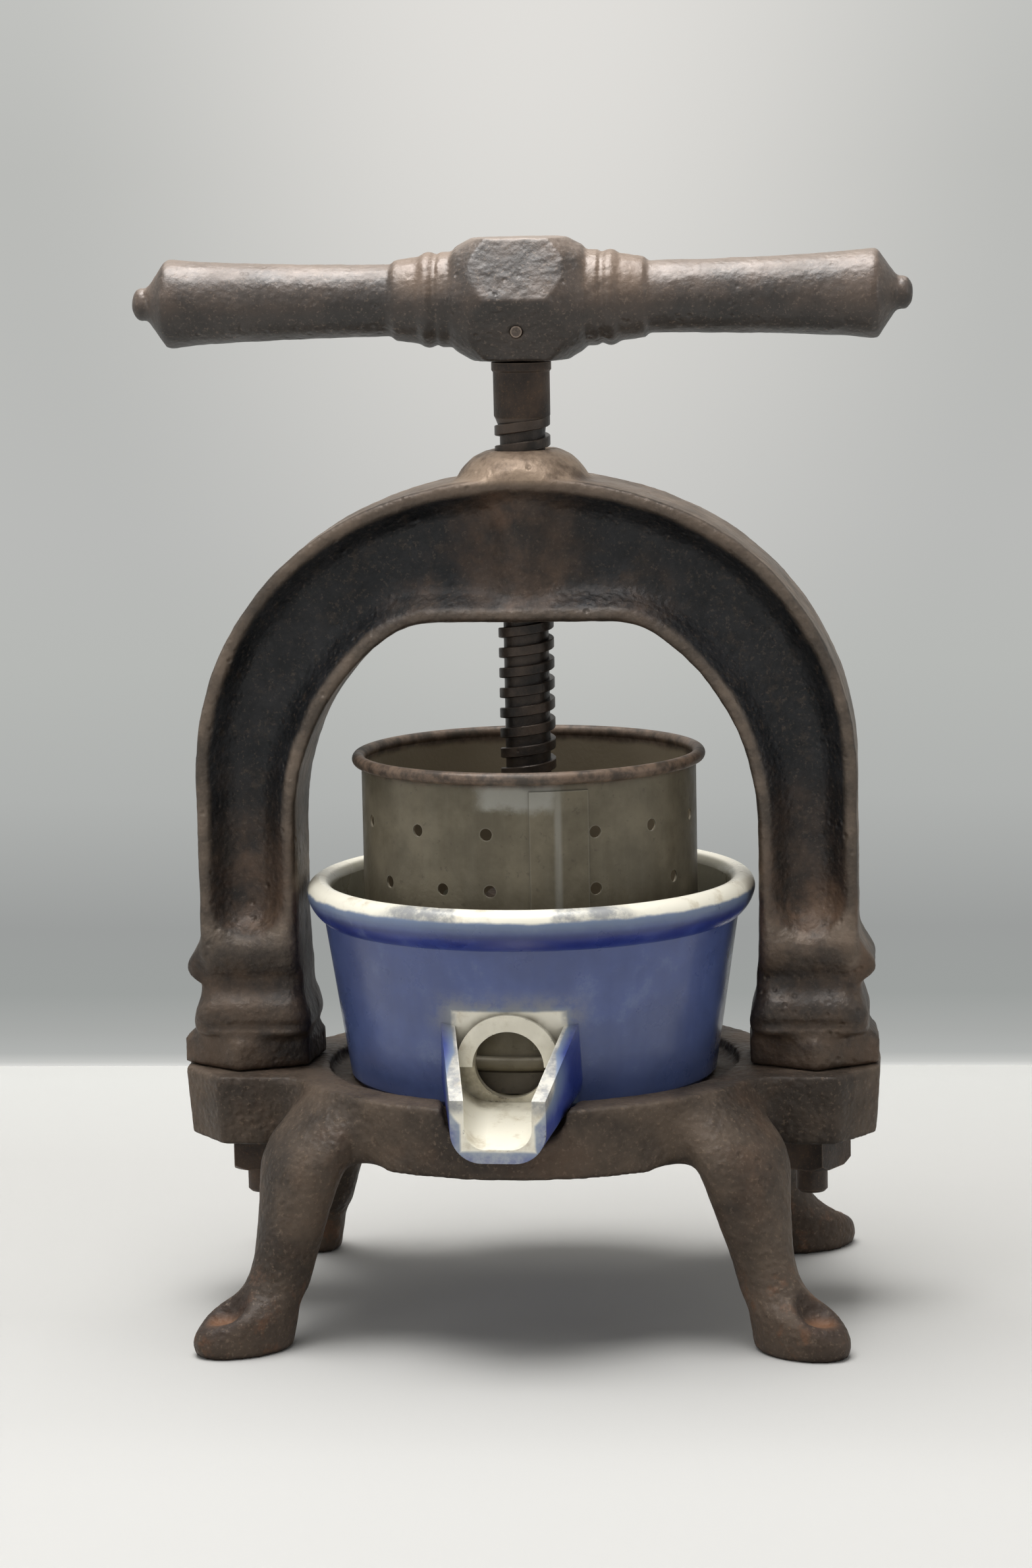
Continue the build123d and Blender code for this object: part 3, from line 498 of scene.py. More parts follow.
def tinnedSheet(name, look):
    material, tree, shader, place = newMaterial(name)
    zones = sheetZones
    xmm, ymm, zmm = [millimetres(tree, part) for part in axisPlace(tree, place)]
    drawn = newNode(tree, "ShaderNodeMapping", Vector=place, Scale=zones["drawn"]).outputs[0]
    body = twoTone(tree, place, zones["blotch"], (look["dark"], look["light"]))
    body = paint(tree, body, patchy(tree, drawn, zones["streak"]), look["streak"])
    body = paint(tree, body, patchy(tree, place, zones["spot"]), look["spot"])
    if look["solder"]:
        solder = solderMask(tree, place, drawn, xmm, ymm, zmm, zones)
        body = paint(tree, body, solder, look["solder"])
    body = paint(tree, body, ramp(tree, apart(tree, xmm, ymm), *zones["within"]), look["inner"])
    rustLine = plus(tree, zmm, times(tree, noise(tree, place, *zones["rimGrain"]), zones["rimWander"]))
    rim = ramp(tree, rustLine, look["rustFrom"], look["rustTo"], 0.0, zones["rim"])
    body = mixColour(tree, rim, body, twoTone(tree, place, zones["rimPatch"], zones["rimTones"]))
    burrs = useGroup(tree, edgeWear, Place=place, Width=zones["burrWidth"], Amount=zones["burr"])
    body = paint(tree, body, burrs["Mask"], look["burr"])
    # painted shade: the ambient occlusion mask darkens corners and recesses
    paintedShade = useGroup(tree, creviceShade, Reach=zones["cornerShadeReach"])
    body = paint(tree, body, times(tree, paintedShade["Mask"], zones["paintedShade"]), zones["cornerShadeTone"])
    feed(tree, shader, Base_Color=body, Metallic=look["metallic"],
         Roughness=patchy(tree, place, zones["rough"]))
    height = plus(tree, times(tree, noise(tree, place, *zones["dents"]), zones["dent"]),
                  times(tree, noise(tree, place, *zones["grains"]), zones["grain"]))
    finishBump(tree, shader, height, zones["bump"])
    return material


tinned = tinnedSheet("tinned_sheet", sheetLook)
tinnedFloor = tinnedSheet("tinned_floor", floorLook)


# blue and white enamel of the pan

# where blue meets white, in metres from the screw's axis and from the table
panForm = {
    "turn": math.radians(-2.4), "wander": (130.0, 4.0, 0.6), "wanderSpan": 0.0016, "wallRadius": 0.0533,
    "wallFrom": 0.070, "wallSlope": 0.1459, "floor": 0.0725, "rimStart": 0.1268, "spoutFrom": 0.0482,
    "spoutHalf": 0.0187, "spoutTaper": 0.2091, "channelFloor": 0.0732, "channelSlope": 0.2306,
    "channelFrom": 0.050, "channelTop": 0.0999, "channelWander": 0.6, "holeHigh": 0.0839,
    "browRadius": 0.0158, "browFrom": 0.045,
}
panLook = {
    "blue": ("#1d2c74", "#34458d"), "cloud": ((42.0, 6.0, 0.62), (0.34, 0.68)),
    "scuff": "#65719a", "scuffPatch": ((85.0, 7.0, 0.72), (0.54, 0.74, 0.0, 0.55)),
    "seam": "#8b9cab", "seamStep": (-0.0028, 0.0004, 0.0, 0.7), "rimSeam": (-0.0055, 0.0, 0.0, 0.63),
    "worn": "#85878a", "smudgeAt": 0.0985, "smudgeHigh": (0.0015, 0.009, 1.0, 0.0),
    "smudgeWide": (0.016, 0.027, 1.0, 0.0), "smudgeFrom": (0.040, 0.047),
    "smudgePatch": ((140.0, 6.0, 0.7), (0.34, 0.6, 0.15, 0.8)),
    "shade": "#1d2550", "shadeAt": 0.1226, "shadeHigh": (0.0, 0.0016, 0.3, 0.0),
    "lip": "#acb1b6", "lipFrom": (0.0846, 0.0852), "lipPatch": ((120.0, 5.0, 0.7), (0.36, 0.6, 0.25, 0.8)),
    "white": ("#f2eddc", "#b5a483"), "stainPatch": ((110.0, 6.0, 0.66), (0.52, 0.74, 0.0, 0.6)),
    "gapShade": "#78735f", "gapShadeIn": (0.0002, 0.0014), "gapShadeBelow": (0.1298, 0.1334, 0.85, 0.0),
    "grubby": "#968d79", "grubbyIn": (-0.0018, 0.0012), "grubbyNear": (0.058, 0.062, 1.0, 0.0),
    "grubbyPatch": ((90.0, 5.0, 0.65), (0.36, 0.62, 0.25, 0.85)),
    "edgeIn": (0.0022, 0.0004), "edgeAbove": (0.074, 0.078), "edgeFrom": (0.0535, 0.058),
    "edgePatch": ((160.0, 5.0, 0.7), (0.36, 0.6, 0.35, 0.9)), "border": (-0.0003, 0.0007),
    "iron": "#3a2f28", "chipWidth": 0.0014, "chipPatch": ((170.0, 5.0, 0.75), (0.6, 0.66)),
    "cornerShadeTone": "#3b3a38", "cornerShadeReach": 0.005, "paintedShade": 0.35, "coat": 0.2, "coatRoughness": 0.18,
    "rough": ((60.0, 5.0, 0.6), (0.3, 0.7, 0.24, 0.45)), "waves": (60.0, 3.0), "grains": (300.0, 3.0),
    "grain": 0.25, "bump": 0.0003,
}


def panZones(tree, x, y, z, place):
    # how deep a point lies in each white part: the bowl, the rim, the spout's channel, the ring at the hole
    form = panForm
    reach = times(tree, y, -1.0)
    wander = wobble(tree, place, form["wander"], form["wanderSpan"])
    wall = plus(tree, times(tree, minus(tree, z, form["wallFrom"]), form["wallSlope"]), form["wallRadius"])
    bowl = smaller(tree, minus(tree, wall, apart(tree, x, y)), minus(tree, z, form["floor"]))
    rim = plus(tree, minus(tree, z, form["rimStart"]), wander)
    run = minus(tree, reach, form["spoutFrom"])
    halfWidth = minus(tree, form["spoutHalf"], times(tree, run, form["spoutTaper"]))
    beside = minus(tree, halfWidth, unsigned(tree, x))
    floor = minus(tree, form["channelFloor"], times(tree, run, form["channelSlope"]))
    channel = smaller(tree, beside, minus(tree, z, floor), minus(tree, reach, form["channelFrom"]),
                      minus(tree, form["channelTop"], z))
    channel = plus(tree, channel, times(tree, wander, form["channelWander"]))
    ring = minus(tree, form["browRadius"], apart(tree, x, minus(tree, z, form["holeHigh"])))
    ring = smaller(tree, ring, minus(tree, reach, form["browFrom"]))
    return {"x": x, "z": z, "reach": reach, "bowl": bowl, "rim": rim, "beside": beside, "ring": ring,
            "inside": larger(tree, bowl, rim, channel, ring)}


def panBlue(tree, place, at, look):
    # clouds and scuffs, a pale seam along the white, smudges by the spout, the lip's worn front
    blue = twoTone(tree, place, look["cloud"], look["blue"])
    blue = paint(tree, blue, patchy(tree, place, look["scuffPatch"]), look["scuff"])
    seam = larger(tree, ramp(tree, at["inside"], *look["seamStep"]), ramp(tree, at["rim"], *look["rimSeam"]))
    blue = paint(tree, blue, seam, look["seam"])
    fromTop = unsigned(tree, minus(tree, at["z"], look["smudgeAt"]))
    smudge = times(tree, ramp(tree, fromTop, *look["smudgeHigh"]),
                   ramp(tree, unsigned(tree, at["x"]), *look["smudgeWide"]),
                   ramp(tree, at["reach"], *look["smudgeFrom"]), patchy(tree, place, look["smudgePatch"]))
    blue = paint(tree, blue, smudge, look["worn"])
    shade = ramp(tree, unsigned(tree, minus(tree, at["z"], look["shadeAt"])), *look["shadeHigh"])
    blue = paint(tree, blue, shade, look["shade"])
    lip = times(tree, ramp(tree, at["reach"], *look["lipFrom"]), patchy(tree, place, look["lipPatch"]))
    return paint(tree, blue, lip, look["lip"])


def panWhite(tree, place, at, look):
    # stains, painted shade on the bowl's inner wall below the rim, dirt about the juice hole, the spout's
    # edges rubbed grey
    pale = twoTone(tree, place, look["stainPatch"], look["white"])
    # painted shade on the inner wall in the gap below the rim
    gapShade = times(tree, ramp(tree, at["bowl"], *look["gapShadeIn"]), ramp(tree, at["z"], *look["gapShadeBelow"]))
    pale = paint(tree, pale, gapShade, look["gapShade"])
    grubby = times(tree, ramp(tree, at["ring"], *look["grubbyIn"]), patchy(tree, place, look["grubbyPatch"]),
                   ramp(tree, at["reach"], *look["grubbyNear"]))
    pale = paint(tree, pale, grubby, look["grubby"])
    edge = times(tree, ramp(tree, at["beside"], *look["edgeIn"]), ramp(tree, at["z"], *look["edgeAbove"]),
                 ramp(tree, at["reach"], *look["edgeFrom"]), patchy(tree, place, look["edgePatch"]))
    return paint(tree, pale, edge, look["worn"])


def enamel(name, look):
    material, tree, shader, place = newMaterial(name)
    at = panZones(tree, *axisPlace(tree, place, panForm["turn"]), place)
    body = mixColour(tree, ramp(tree, at["inside"], *look["border"]), panBlue(tree, place, at, look),
                     panWhite(tree, place, at, look))
    # chips down to the iron
    wear = useGroup(tree, edgeWear, Place=place, Width=look["chipWidth"], Amount=1.0)
    chips = times(tree, wear["Mask"], patchy(tree, place, look["chipPatch"]))
    body = paint(tree, body, chips, look["iron"])
    # painted shade: the ambient occlusion mask darkens corners and recesses
    paintedShade = useGroup(tree, creviceShade, Reach=look["cornerShadeReach"])
    body = paint(tree, body, times(tree, paintedShade["Mask"], look["paintedShade"]), look["cornerShadeTone"])
    feed(tree, shader, Base_Color=body, Roughness=patchy(tree, place, look["rough"]),
         Coat_Weight=look["coat"], Coat_Roughness=look["coatRoughness"])
    height = plus(tree, noise(tree, place, *look["waves"]),
                  times(tree, noise(tree, place, *look["grains"]), look["grain"]))
    finishBump(tree, shader, height, look["bump"])
    return material


panEnamel = enamel("pan_enamel", panLook)
print("stage: enamel and sheet finishes")


# finishes go onto the CAD pieces

finishOf = {
    "base_casting": irons["base"], "arch_frame": irons["arch"], "tee_handle": irons["handle"],
    "handle_pin": irons["handle"], "left_stud": irons["fixings"], "right_stud": irons["fixings"],
    "left_nut": irons["fixings"], "right_nut": irons["fixings"], "press_screw": irons["screw"],
    "press_plate": irons["plate"], "plate_washer": irons["fixings"], "plate_pin": irons["fixings"],
    "strainer_cylinder": tinned, "strainer_top_wire": tinned, "strainer_bottom_wire": tinned,
    "strainer_plate": tinnedFloor, "juice_pan": panEnamel,
}
for nodeName, finish in finishOf.items():
    nodes[nodeName].material_slots[0].material = finish
print("stage: finishes on the CAD pieces")


# the castings get the soft edges and lumpy skin that sand leaves

legBlend = {"azimuth": math.radians(37.0), "across": 0.026, "fade": 0.007, "near": 0.058, "far": 0.101,
            "low": 0.034, "high": 0.0722}
postBlend = {"low": 0.104, "high": 0.158, "fadeLow": 0.006, "fadeHigh": 0.03, "nose": 0.0905,
             "noseShare": 0.12, "crownLow": 0.203, "crownHigh": 0.226, "crownFade": (0.004, 0.006, 0.01),
             "crownWidth": 0.05, "crownShare": 0.5}
hubBlend = (0.018, 0.04)            # the rings beside the hub, out from the axis
dishForm = {"below": 0.03, "facing": 0.2, "reach": 0.0078, "fade": 0.0025, "depth": 0.0012}
# belly, hollow, roll and groove round the foot of a post: height, how far out, how tall
footForm = {
    "from": 0.084, "to": 0.126, "rise": (0.0845, 0.0865),
    "rings": ((0.1108, 0.0016, 0.0048), (0.1010, -0.0012, 0.0036), (0.0938, 0.0016, 0.0028),
              (0.0874, -0.0014, 0.0013)),
}


def share(value, low, high):
    return min(1.0, max(0.0, (value - low) / (high - low)))


def legShare(spot):
    # how much a point of the base is smoothed into its neighbours: all of it where a leg meets the ring
    x, y, z = abs(spot.x), abs(spot.y - axisY), spot.z
    look = legBlend
    level = share(look["high"] - z, 0, look["fade"]) * share(z - look["low"], 0, look["fade"])
    along = x * math.cos(look["azimuth"]) + y * math.sin(look["azimuth"])
    across = abs(y * math.cos(look["azimuth"]) - x * math.sin(look["azimuth"]))
    return level * share(look["across"] - across, 0, look["fade"]) * (look["near"] < along < look["far"])


def postShare(spot):
    # the web runs out softly at the foot of each post and under the boss
    x, z = abs(spot.x), spot.z
    look = postBlend
    foot = share(z, look["low"], look["low"] + look["fadeLow"]) * share(look["high"] - z, 0, look["fadeHigh"])
    if x > look["nose"]:
        foot *= look["noseShare"]
    fadeLow, fadeHigh, fadeSide = look["crownFade"]
    crown = share(z, look["crownLow"], look["crownLow"] + fadeLow) * share(look["crownHigh"] - z, 0, fadeHigh)
    crown *= share(look["crownWidth"] - x, 0, fadeSide) * look["crownShare"]
    return max(foot, crown)


def hubShare(spot):
    return 1.0 if hubBlend[0] < abs(spot.x) < hubBlend[1] else 0.0


def shapeDishes(piece):
    # the thumb-like hollow on each toe, deepened where the skin softened it
    look = dishForm
    for vertex in piece.data.vertices:
        if vertex.co.z > look["below"] or vertex.normal.z < look["facing"]:
            continue
        away = math.hypot(abs(vertex.co.x) - dishAt[0], abs(vertex.co.y - axisY) - dishAt[1])
        vertex.co.z -= look["depth"] * share(look["reach"] - away, 0, look["fade"])


def shapeFeet(piece):
    # the moulding that runs round the front of each post's foot
    look = footForm
    normals = [vertex.normal.copy() for vertex in piece.data.vertices]
    for vertex, normal in zip(piece.data.vertices, normals):
        z = vertex.co.z
        if not look["from"] < z < look["to"]:
            continue
        push = sum(out * math.exp(-((z - high) / tall) ** 2) for high, out, tall in look["rings"])
        push *= share(z, *look["rise"]) * abs(normal.y)
        vertex.co.y += push * (1 if normal.y > 0 else -1)


skinForm = {"weld": 0.00002, "factor": 0.5, "depth": 2, "middle": 0.62}


def castBlank(name, source, look):
    # one even skin over a copy of the solid
    piece = bpy.data.objects.new(name, source.data.copy())
    bpy.context.scene.collection.objects.link(piece)
    makeActive(piece)
    bpy.ops.object.mode_set(mode="EDIT")
    bpy.ops.mesh.select_all(action="SELECT")
    bpy.ops.mesh.remove_doubles(threshold=skinForm["weld"])
    bpy.ops.object.mode_set(mode="OBJECT")
    remesh = piece.modifiers.new("sand", "REMESH")
    remesh.mode = "VOXEL"
    remesh.voxel_size = look["voxel"]
    remesh.use_smooth_shade = True
    bpy.ops.object.modifier_apply(modifier="sand")
    return piece


def addSkin(piece, nodeName, look):
    # joints blended by their shares, then all softened, and lumps and grain laid over it
    group = piece.vertex_groups.new(name="blend")
    for vertex in piece.data.vertices:
        weight = look["blend"](vertex.co)
        if weight > 0:
            group.add([vertex.index], weight, "REPLACE")
    blend = piece.modifiers.new("blend", "SMOOTH")
    blend.vertex_group = "blend"
    blend.factor, blend.iterations = skinForm["factor"], look["steps"]
    soft = piece.modifiers.new("soft", "SMOOTH")
    soft.factor, soft.iterations = skinForm["factor"], look["soften"]
    for label in ("lumps", "grain"):
        pattern = bpy.data.textures.new(nodeName + "_" + label, "CLOUDS")
        pattern.noise_scale = look[label + "Size"]
        pattern.noise_depth = skinForm["depth"]
        lumpy = piece.modifiers.new(label, "DISPLACE")
        lumpy.texture = pattern
        lumpy.texture_coords = "LOCAL"
        lumpy.strength = look[label]
        lumpy.mid_level = skinForm["middle"]
    applyAll(piece)


def holdWithin(piece, source):
    # no point of the skin leaves the outer limits of the solid it covers
    spots = [vertex.co for vertex in source.data.vertices]
    lows = [min(spot[axis] for spot in spots) for axis in range(3)]
    highs = [max(spot[axis] for spot in spots) for axis in range(3)]
    for vertex in piece.data.vertices:
        vertex.co = [min(max(value, low), high) for value, low, high in zip(vertex.co, lows, highs)]


def makeCasting(nodeName, look):
    source = nodes[nodeName]
    piece = castBlank(nodeName + "_cast", source, look)
    addSkin(piece, nodeName, look)
    if look["shape"]:
        look["shape"](piece)
    holdWithin(piece, source)
    piece.vertex_groups.clear()
    piece.data.materials.clear()
    piece.data.materials.append(irons[look["finish"]])
    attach(piece, look["body"])
    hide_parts(nodeName)
    print("stage:", piece.name, len(piece.data.polygons), "faces")


castingLooks = {
    "base_casting": {
        "body": "stand", "finish": "base", "voxel": 0.00115, "soften": 1, "lumps": 0.0004,
        "lumpsSize": 0.008, "grain": 0.00022, "grainSize": 0.0022, "blend": legShare, "steps": 90,
        "shape": shapeDishes},
    "arch_frame": {
        "body": "stand", "finish": "arch", "voxel": 0.00115, "soften": 3, "lumps": 0.00055,
        "lumpsSize": 0.011, "grain": 0.0002, "grainSize": 0.0024, "blend": postShare, "steps": 60,
        "shape": shapeFeet},
    "tee_handle": {
        "body": "screw", "finish": "handle", "voxel": 0.0008, "soften": 1, "lumps": 0.0004,
        "lumpsSize": 0.007, "grain": 0.0002, "grainSize": 0.0019, "blend": hubShare, "steps": 1,
        "shape": None},
}
for nodeName, look in castingLooks.items():
    makeCasting(nodeName, look)


# the screw with its square thread

screwSizes = {
    "pitch": 0.006, "crest": 0.00825, "root": 0.0067, "tooth": 0.5, "ease": 0.00022, "low": 0.1262,
    "high": 0.2672, "runOut": 0.0035, "runOutBend": 0.7, "startTurns": 1.5, "spareTurns": 3, "steps": 56,
    "seam": 0.00001, "creaseAngle": 30,
}


def drawOutline(name, points, side):
    # one point, extruded along the outline; it stays in edit mode
    piece = addPlane(name, 0.001, (points[0][0], side, points[0][1]))
    bpy.ops.object.mode_set(mode="EDIT")
    bpy.ops.mesh.select_all(action="SELECT")
    bpy.ops.mesh.merge(type="CENTER")
    bpy.ops.object.mode_set(mode="OBJECT")
    bpy.ops.object.transform_apply(location=True, rotation=True, scale=True)
    bpy.ops.object.mode_set(mode="EDIT")
    bpy.ops.mesh.select_all(action="SELECT")
    for before, after in zip(points, points[1:]):
        step = (after[0] - before[0], 0, after[1] - before[1])
        bpy.ops.mesh.extrude_region_move(TRANSFORM_OT_translate={"value": step})
    bpy.ops.mesh.select_all(action="SELECT")
    return piece


def closeSeams():
    bpy.ops.mesh.select_all(action="SELECT")
    bpy.ops.mesh.remove_doubles(threshold=screwSizes["seam"])
    bpy.ops.mesh.normals_make_consistent(inside=False)
    bpy.ops.object.mode_set(mode="OBJECT")


def turnProfile(name, points, steps=64):
    piece = drawOutline(name, points, axisY)
    bpy.ops.mesh.spin(steps=steps, angle=math.tau, center=(0, axisY, 0), axis=(0, 0, 1))
    closeSeams()
    return piece


def makeScrewThread(sizes):
    pitch, crest, root, ease = sizes["pitch"], sizes["crest"], sizes["root"], sizes["ease"]
    tooth = pitch * sizes["tooth"]
    foot = pitch - tooth
    outline = [(root, 0), (root, foot - ease), (crest - ease, foot), (crest, foot + ease),
               (crest, pitch - ease), (crest - ease, pitch), (root, pitch)]
    piece = drawOutline("screw_thread", outline, 0)
    bpy.ops.object.mode_set(mode="OBJECT")
    screw = piece.modifiers.new("thread", "SCREW")
    screw.angle = math.tau
    screw.screw_offset = pitch
    screw.iterations = math.ceil((sizes["high"] - sizes["low"]) / pitch) + sizes["spareTurns"]
    screw.steps = screw.render_steps = sizes["steps"]
    screw.use_merge_vertices = False
    applyAll(piece)
    bpy.ops.object.mode_set(mode="EDIT")
    closeSeams()
    for vertex in piece.data.vertices:
        vertex.co.z += sizes["low"] - sizes["startTurns"] * pitch
        vertex.co.y += axisY
        # the thread runs out into the shank
        rise = share(vertex.co.z, sizes["high"] - sizes["runOut"], sizes["high"])
        radial = Vector((vertex.co.x, vertex.co.y - axisY))
        wanted = max(radial.length, root + (crest - root) * rise ** sizes["runOutBend"])
        radial *= wanted / radial.length
        vertex.co.x, vertex.co.y = radial.x, radial.y + axisY
    bpy.ops.object.mode_set(mode="EDIT")
    for level, above in ((sizes["low"], False), (sizes["high"], True)):
        bpy.ops.mesh.select_all(action="SELECT")
        bpy.ops.mesh.bisect(plane_co=(0, 0, level), plane_no=(0, 0, 1), use_fill=True,
                            clear_inner=not above, clear_outer=above)
    bpy.ops.mesh.select_all(action="SELECT")
    bpy.ops.mesh.normals_make_consistent(inside=False)
    bpy.ops.object.mode_set(mode="OBJECT")
    return piece


shankOutline = [
    (0.0, 0.2665), (0.0080, 0.2665), (0.00835, 0.2672), (0.00838, 0.2800), (0.00885, 0.2806),
    (0.00885, 0.2829), (0.0065, 0.2834), (0.0065, 0.3098), (0.0059, 0.3104), (0.0, 0.3104)]
journalOutline = [
    (0.0, 0.1055), (0.0054, 0.1055), (0.0060, 0.1061), (0.0060, 0.1252), (0.0080, 0.1252), (0.0080, 0.1268),
    (0.0, 0.1268)]
thread = makeScrewThread(screwSizes)
shank = turnProfile("screw_shank", shankOutline)
journal = turnProfile("screw_journal", journalOutline)
for part in (thread, shank, journal):
    smoothShade(part, screwSizes["creaseAngle"])
    part.data.materials.append(irons["fixings" if part is shank else "screw"])
    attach(part, "screw")
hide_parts("press_screw")
print("stage: screw thread,", len(thread.data.polygons), "faces")


# floor, wall, light and camera

stageLook = {
    "wallAt": 0.335, "wallHigh": 0.9, "width": 9.0, "bounce": "#e4e3df", "air": "#c6c7c5", "airLight": 0.24,
    "fade": (0.8, 1.9),
    # the floor's tones front to back are painted shade about the press and painted light towards the wall
    "floor": ((-0.19, "#bdbcb9"), (-0.02, "#b3b2af"), (0.18, "#b9b8b5"), (0.31, "#c6c6c3")),
    # the backdrop's tones up its height are painted light and shade: a pale line at its foot, darker low
    # down, lighter higher up
    "wall": ((0.0, "#dcdcd9"), (0.0015, "#c6c7c4"), (0.005, "#b1b3b1"), (0.013, "#a8aaa8"),
             (0.028, "#9c9f9d"), (0.053, "#9b9d9c"), (0.103, "#afb1af"), (0.153, "#b6b8b5"),
             (0.203, "#b9bab8"), (0.337, "#babbb8"), (0.42, "#c2c3c0")),
    # glow: a painted pool of light on the backdrop
    "glow": "#e1dfdb", "glowAt": (-0.02, 0.44), "glowSize": (0.2, 0.37), "glowFade": (0.05, 1.05, 1.0, 0.0),
}
paperLook = {"roughness": 0.9, "specular": 0.1}
lightAim = (0.0, 0.0, 0.15)
lights = {
    "top_softbox": {"place": (-0.16, 0.0, 1.55), "size": (1.25, 0.95), "power": 36.0},
    "front_fill": {"place": (-0.9, -2.2, 1.3), "size": (1.8, 1.8), "power": 8.0},
    "right_fill": {"place": (2.2, -0.6, 0.9), "size": (1.2, 1.2), "power": 6.0},
    "left_fill": {"place": (-2.2, -0.3, 0.9), "size": (1.2, 1.2), "power": 5.0},
}
# fitted to the photo: radians and metres, the focal length in pixels of the photo's height
cameraLook = {
    "turn": 0.084, "distance": 1.303571, "height": 0.352909, "aim": 0.087, "tip": 0.149, "roll": -0.0195,
    "focal": 6701.366, "photoHigh": 2380, "sensor": 36.0, "clip": (0.05, 30.0),
}


def toneRun(tree, value, tones):
    # colours one after another along a value
    tone = colour(tones[0][1])
    for (low, first), (top, second) in zip(tones, tones[1:]):
        step = newNode(tree, "ShaderNodeMapRange", Value=value, From_Min=low, From_Max=top)
        tone = mixColour(tree, step.outputs["Result"], tone, colour(second))
    return tone


def seenRay(tree):
    # 1 for rays from the camera, and for those that gloss or glass sends on
    light = tree.nodes.new("ShaderNodeLightPath")
    return larger(tree, light.outputs["Is Camera Ray"], light.outputs["Is Glossy Ray"],
                  light.outputs["Is Transmission Ray"])


def mixShaders(tree, amount, first, second):
    node = tree.nodes.new("ShaderNodeMixShader")
    for index, value in enumerate((amount, first, second)):
        tree.links.new(value, node.inputs[index])
    return node.outputs[0]


def glowNode(tree, kind, tone, strength=1.0):
    tone = colour(tone) if isinstance(tone, str) else tone
    return newNode(tree, kind, Color=tone, Strength=strength).outputs[0]


def paperMaterial(name):
    material, tree, shader, place = newMaterial(name)
    feed(tree, shader, Roughness=paperLook["roughness"], Specular_IOR_Level=paperLook["specular"])
    output = [node for node in tree.nodes if node.type == "OUTPUT_MATERIAL"][0]
    return material, tree, shader, splitUp(tree, place), output.inputs["Surface"]


def makeFloor(look):
    floor = addPlane("studio_floor")
    bpy.ops.transform.resize(value=(look["width"], look["width"], 1))
    applyAll(floor)
    material, tree, shader, spot, surface = paperMaterial("studio_paper")
    # the floor's colour carries painted shade about the press and painted light further back
    feed(tree, shader, Base_Color=toneRun(tree, spot[1], look["floor"]))
    # far off, the floor goes over into the tone of the air, for the camera only
    away = apart(tree, spot[0], spot[1])
    fade = times(tree, ramp(tree, away, *look["fade"]), seenRay(tree))
    haze = glowNode(tree, "ShaderNodeEmission", look["air"])
    tree.links.new(mixShaders(tree, fade, shader.outputs[0], haze), surface)
    floor.data.materials.append(material)


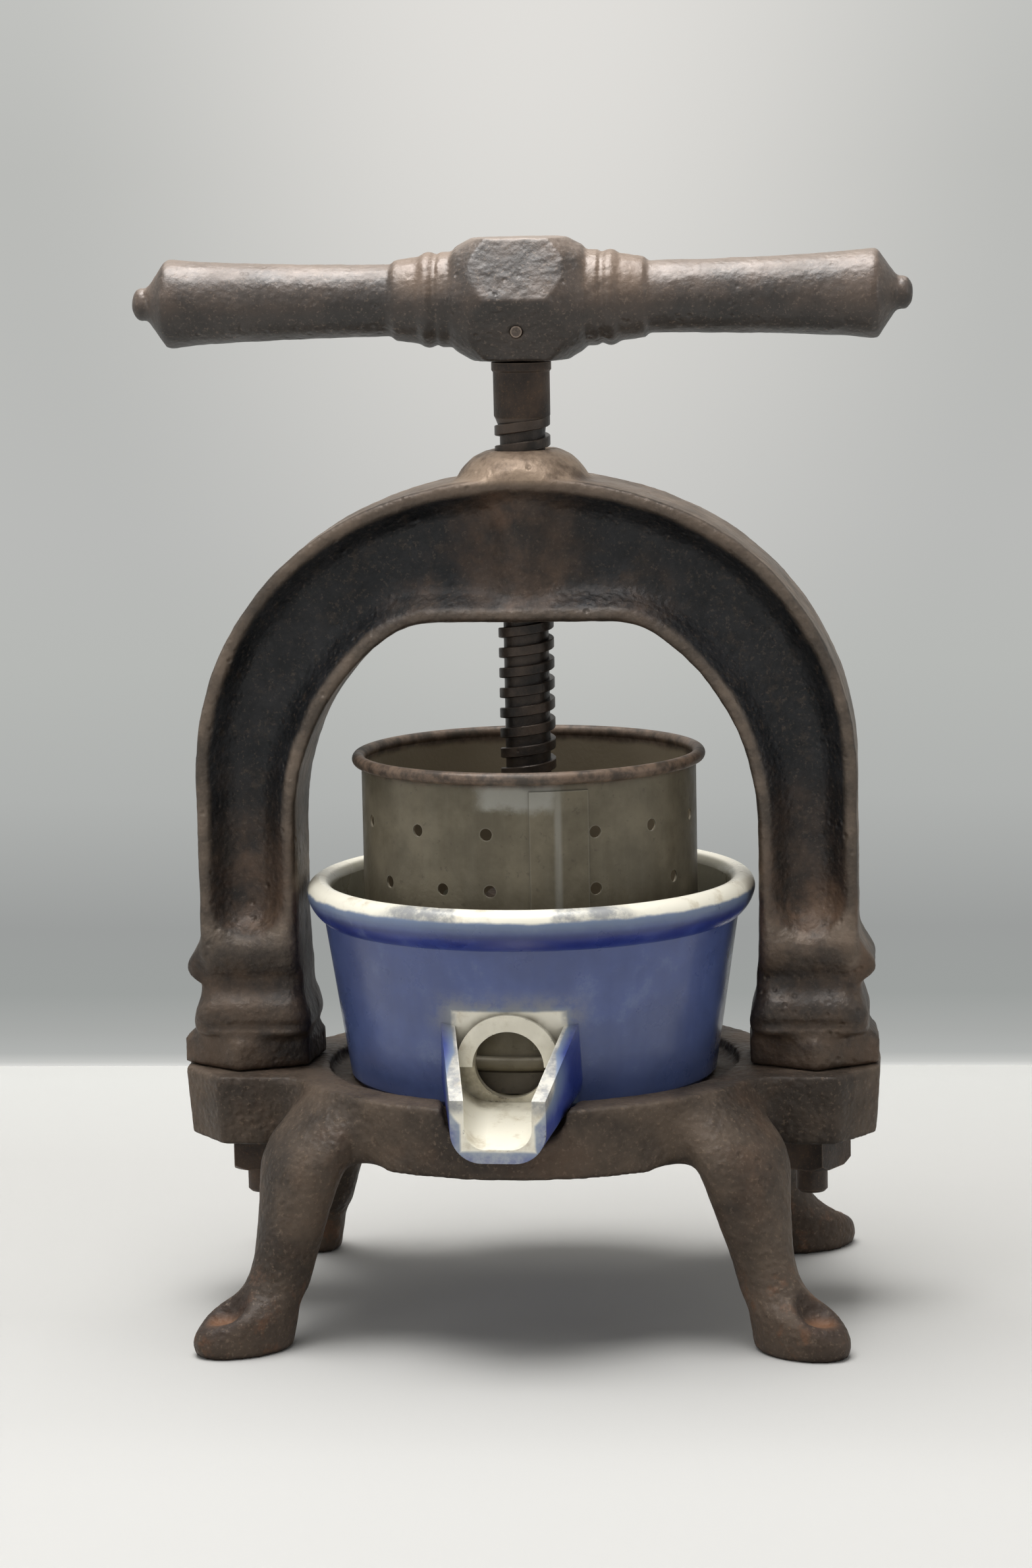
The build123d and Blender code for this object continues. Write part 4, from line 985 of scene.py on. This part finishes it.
def makeWall(look):
    wall = addPlane("studio_wall")
    bpy.ops.transform.resize(value=(look["width"], look["wallHigh"], 1))
    bpy.ops.transform.rotate(value=-math.pi / 2, orient_axis="X", center_override=(0, 0, 0))
    bpy.ops.transform.translate(value=(0, look["wallAt"], look["wallHigh"] / 2))
    applyAll(wall)
    material, tree, shader, spot, surface = paperMaterial("studio_backdrop")
    feed(tree, shader, Base_Color=colour(look["bounce"]))
    # a painted pool of light over the painted light and shade up the backdrop
    offX = maths(tree, "DIVIDE", minus(tree, spot[0], look["glowAt"][0]), look["glowSize"][0])
    offZ = maths(tree, "DIVIDE", minus(tree, spot[2], look["glowAt"][1]), look["glowSize"][1])
    tone = mixColour(tree, ramp(tree, apart(tree, offX, offZ), *look["glowFade"]),
                     toneRun(tree, spot[2], look["wall"]), colour(look["glow"]))
    # the wall shows its tones to the camera and in gloss, lights nothing, and can't be seen from behind
    picture = glowNode(tree, "ShaderNodeEmission", tone)
    front = mixShaders(tree, seenRay(tree), shader.outputs[0], picture)
    geometry = tree.nodes.new("ShaderNodeNewGeometry")
    clear = tree.nodes.new("ShaderNodeBsdfTransparent")
    tree.links.new(mixShaders(tree, geometry.outputs["Backfacing"], front, clear.outputs[0]), surface)
    wall.data.materials.append(material)


def makeAir(look):
    # plain white light, with the backdrop's tone where the camera sees past it
    world = bpy.data.worlds.new("studio_air")
    bpy.context.scene.world = world
    world.use_nodes = True
    tree = world.node_tree
    light = glowNode(tree, "ShaderNodeBackground", "#ffffff", look["airLight"])
    view = glowNode(tree, "ShaderNodeBackground", look["air"])
    tree.links.new(mixShaders(tree, seenRay(tree), light, view), tree.nodes["World Output"].inputs["Surface"])


def makeLight(name, look):
    clearSelection()
    bpy.ops.object.light_add(type="AREA", location=look["place"])
    lamp = bpy.context.object
    lamp.name = name
    lamp.data.shape = "RECTANGLE"
    lamp.data.size, lamp.data.size_y = look["size"]
    lamp.data.energy = look["power"]
    lamp.rotation_euler = (Vector(lightAim) - Vector(look["place"])).to_track_quat("-Z", "Y").to_euler()


def makeCamera(look):
    # placed and turned to the photo's own view
    turn, aim, tip, roll = look["turn"], look["aim"], look["tip"], look["roll"]
    clearSelection()
    bpy.ops.object.camera_add()
    camera = bpy.context.object
    camera.name = "photo_camera"
    forward = Vector((-math.sin(aim) * math.cos(tip), math.cos(aim) * math.cos(tip), -math.sin(tip)))
    right = forward.cross(Vector((0, 0, 1))).normalized()
    up = right.cross(forward)
    rolledRight = right * math.cos(roll) + up * math.sin(roll)
    rolledUp = up * math.cos(roll) - right * math.sin(roll)
    turnMatrix = Matrix((rolledRight, rolledUp, -forward)).transposed().to_4x4()
    far = look["distance"]
    place = Vector((far * math.sin(turn), axisY - far * math.cos(turn), look["height"]))
    camera.matrix_world = Matrix.Translation(place) @ turnMatrix
    camera.data.sensor_width = look["sensor"]
    camera.data.lens = look["focal"] / look["photoHigh"] * look["sensor"]
    camera.data.clip_start, camera.data.clip_end = look["clip"]
    bpy.context.scene.camera = camera


makeFloor(stageLook)
makeWall(stageLook)
for name, look in lights.items():
    makeLight(name, look)
makeCamera(cameraLook)
makeAir(stageLook)
bpy.context.scene.view_settings.view_transform = "Standard"
print("stage: studio and camera")
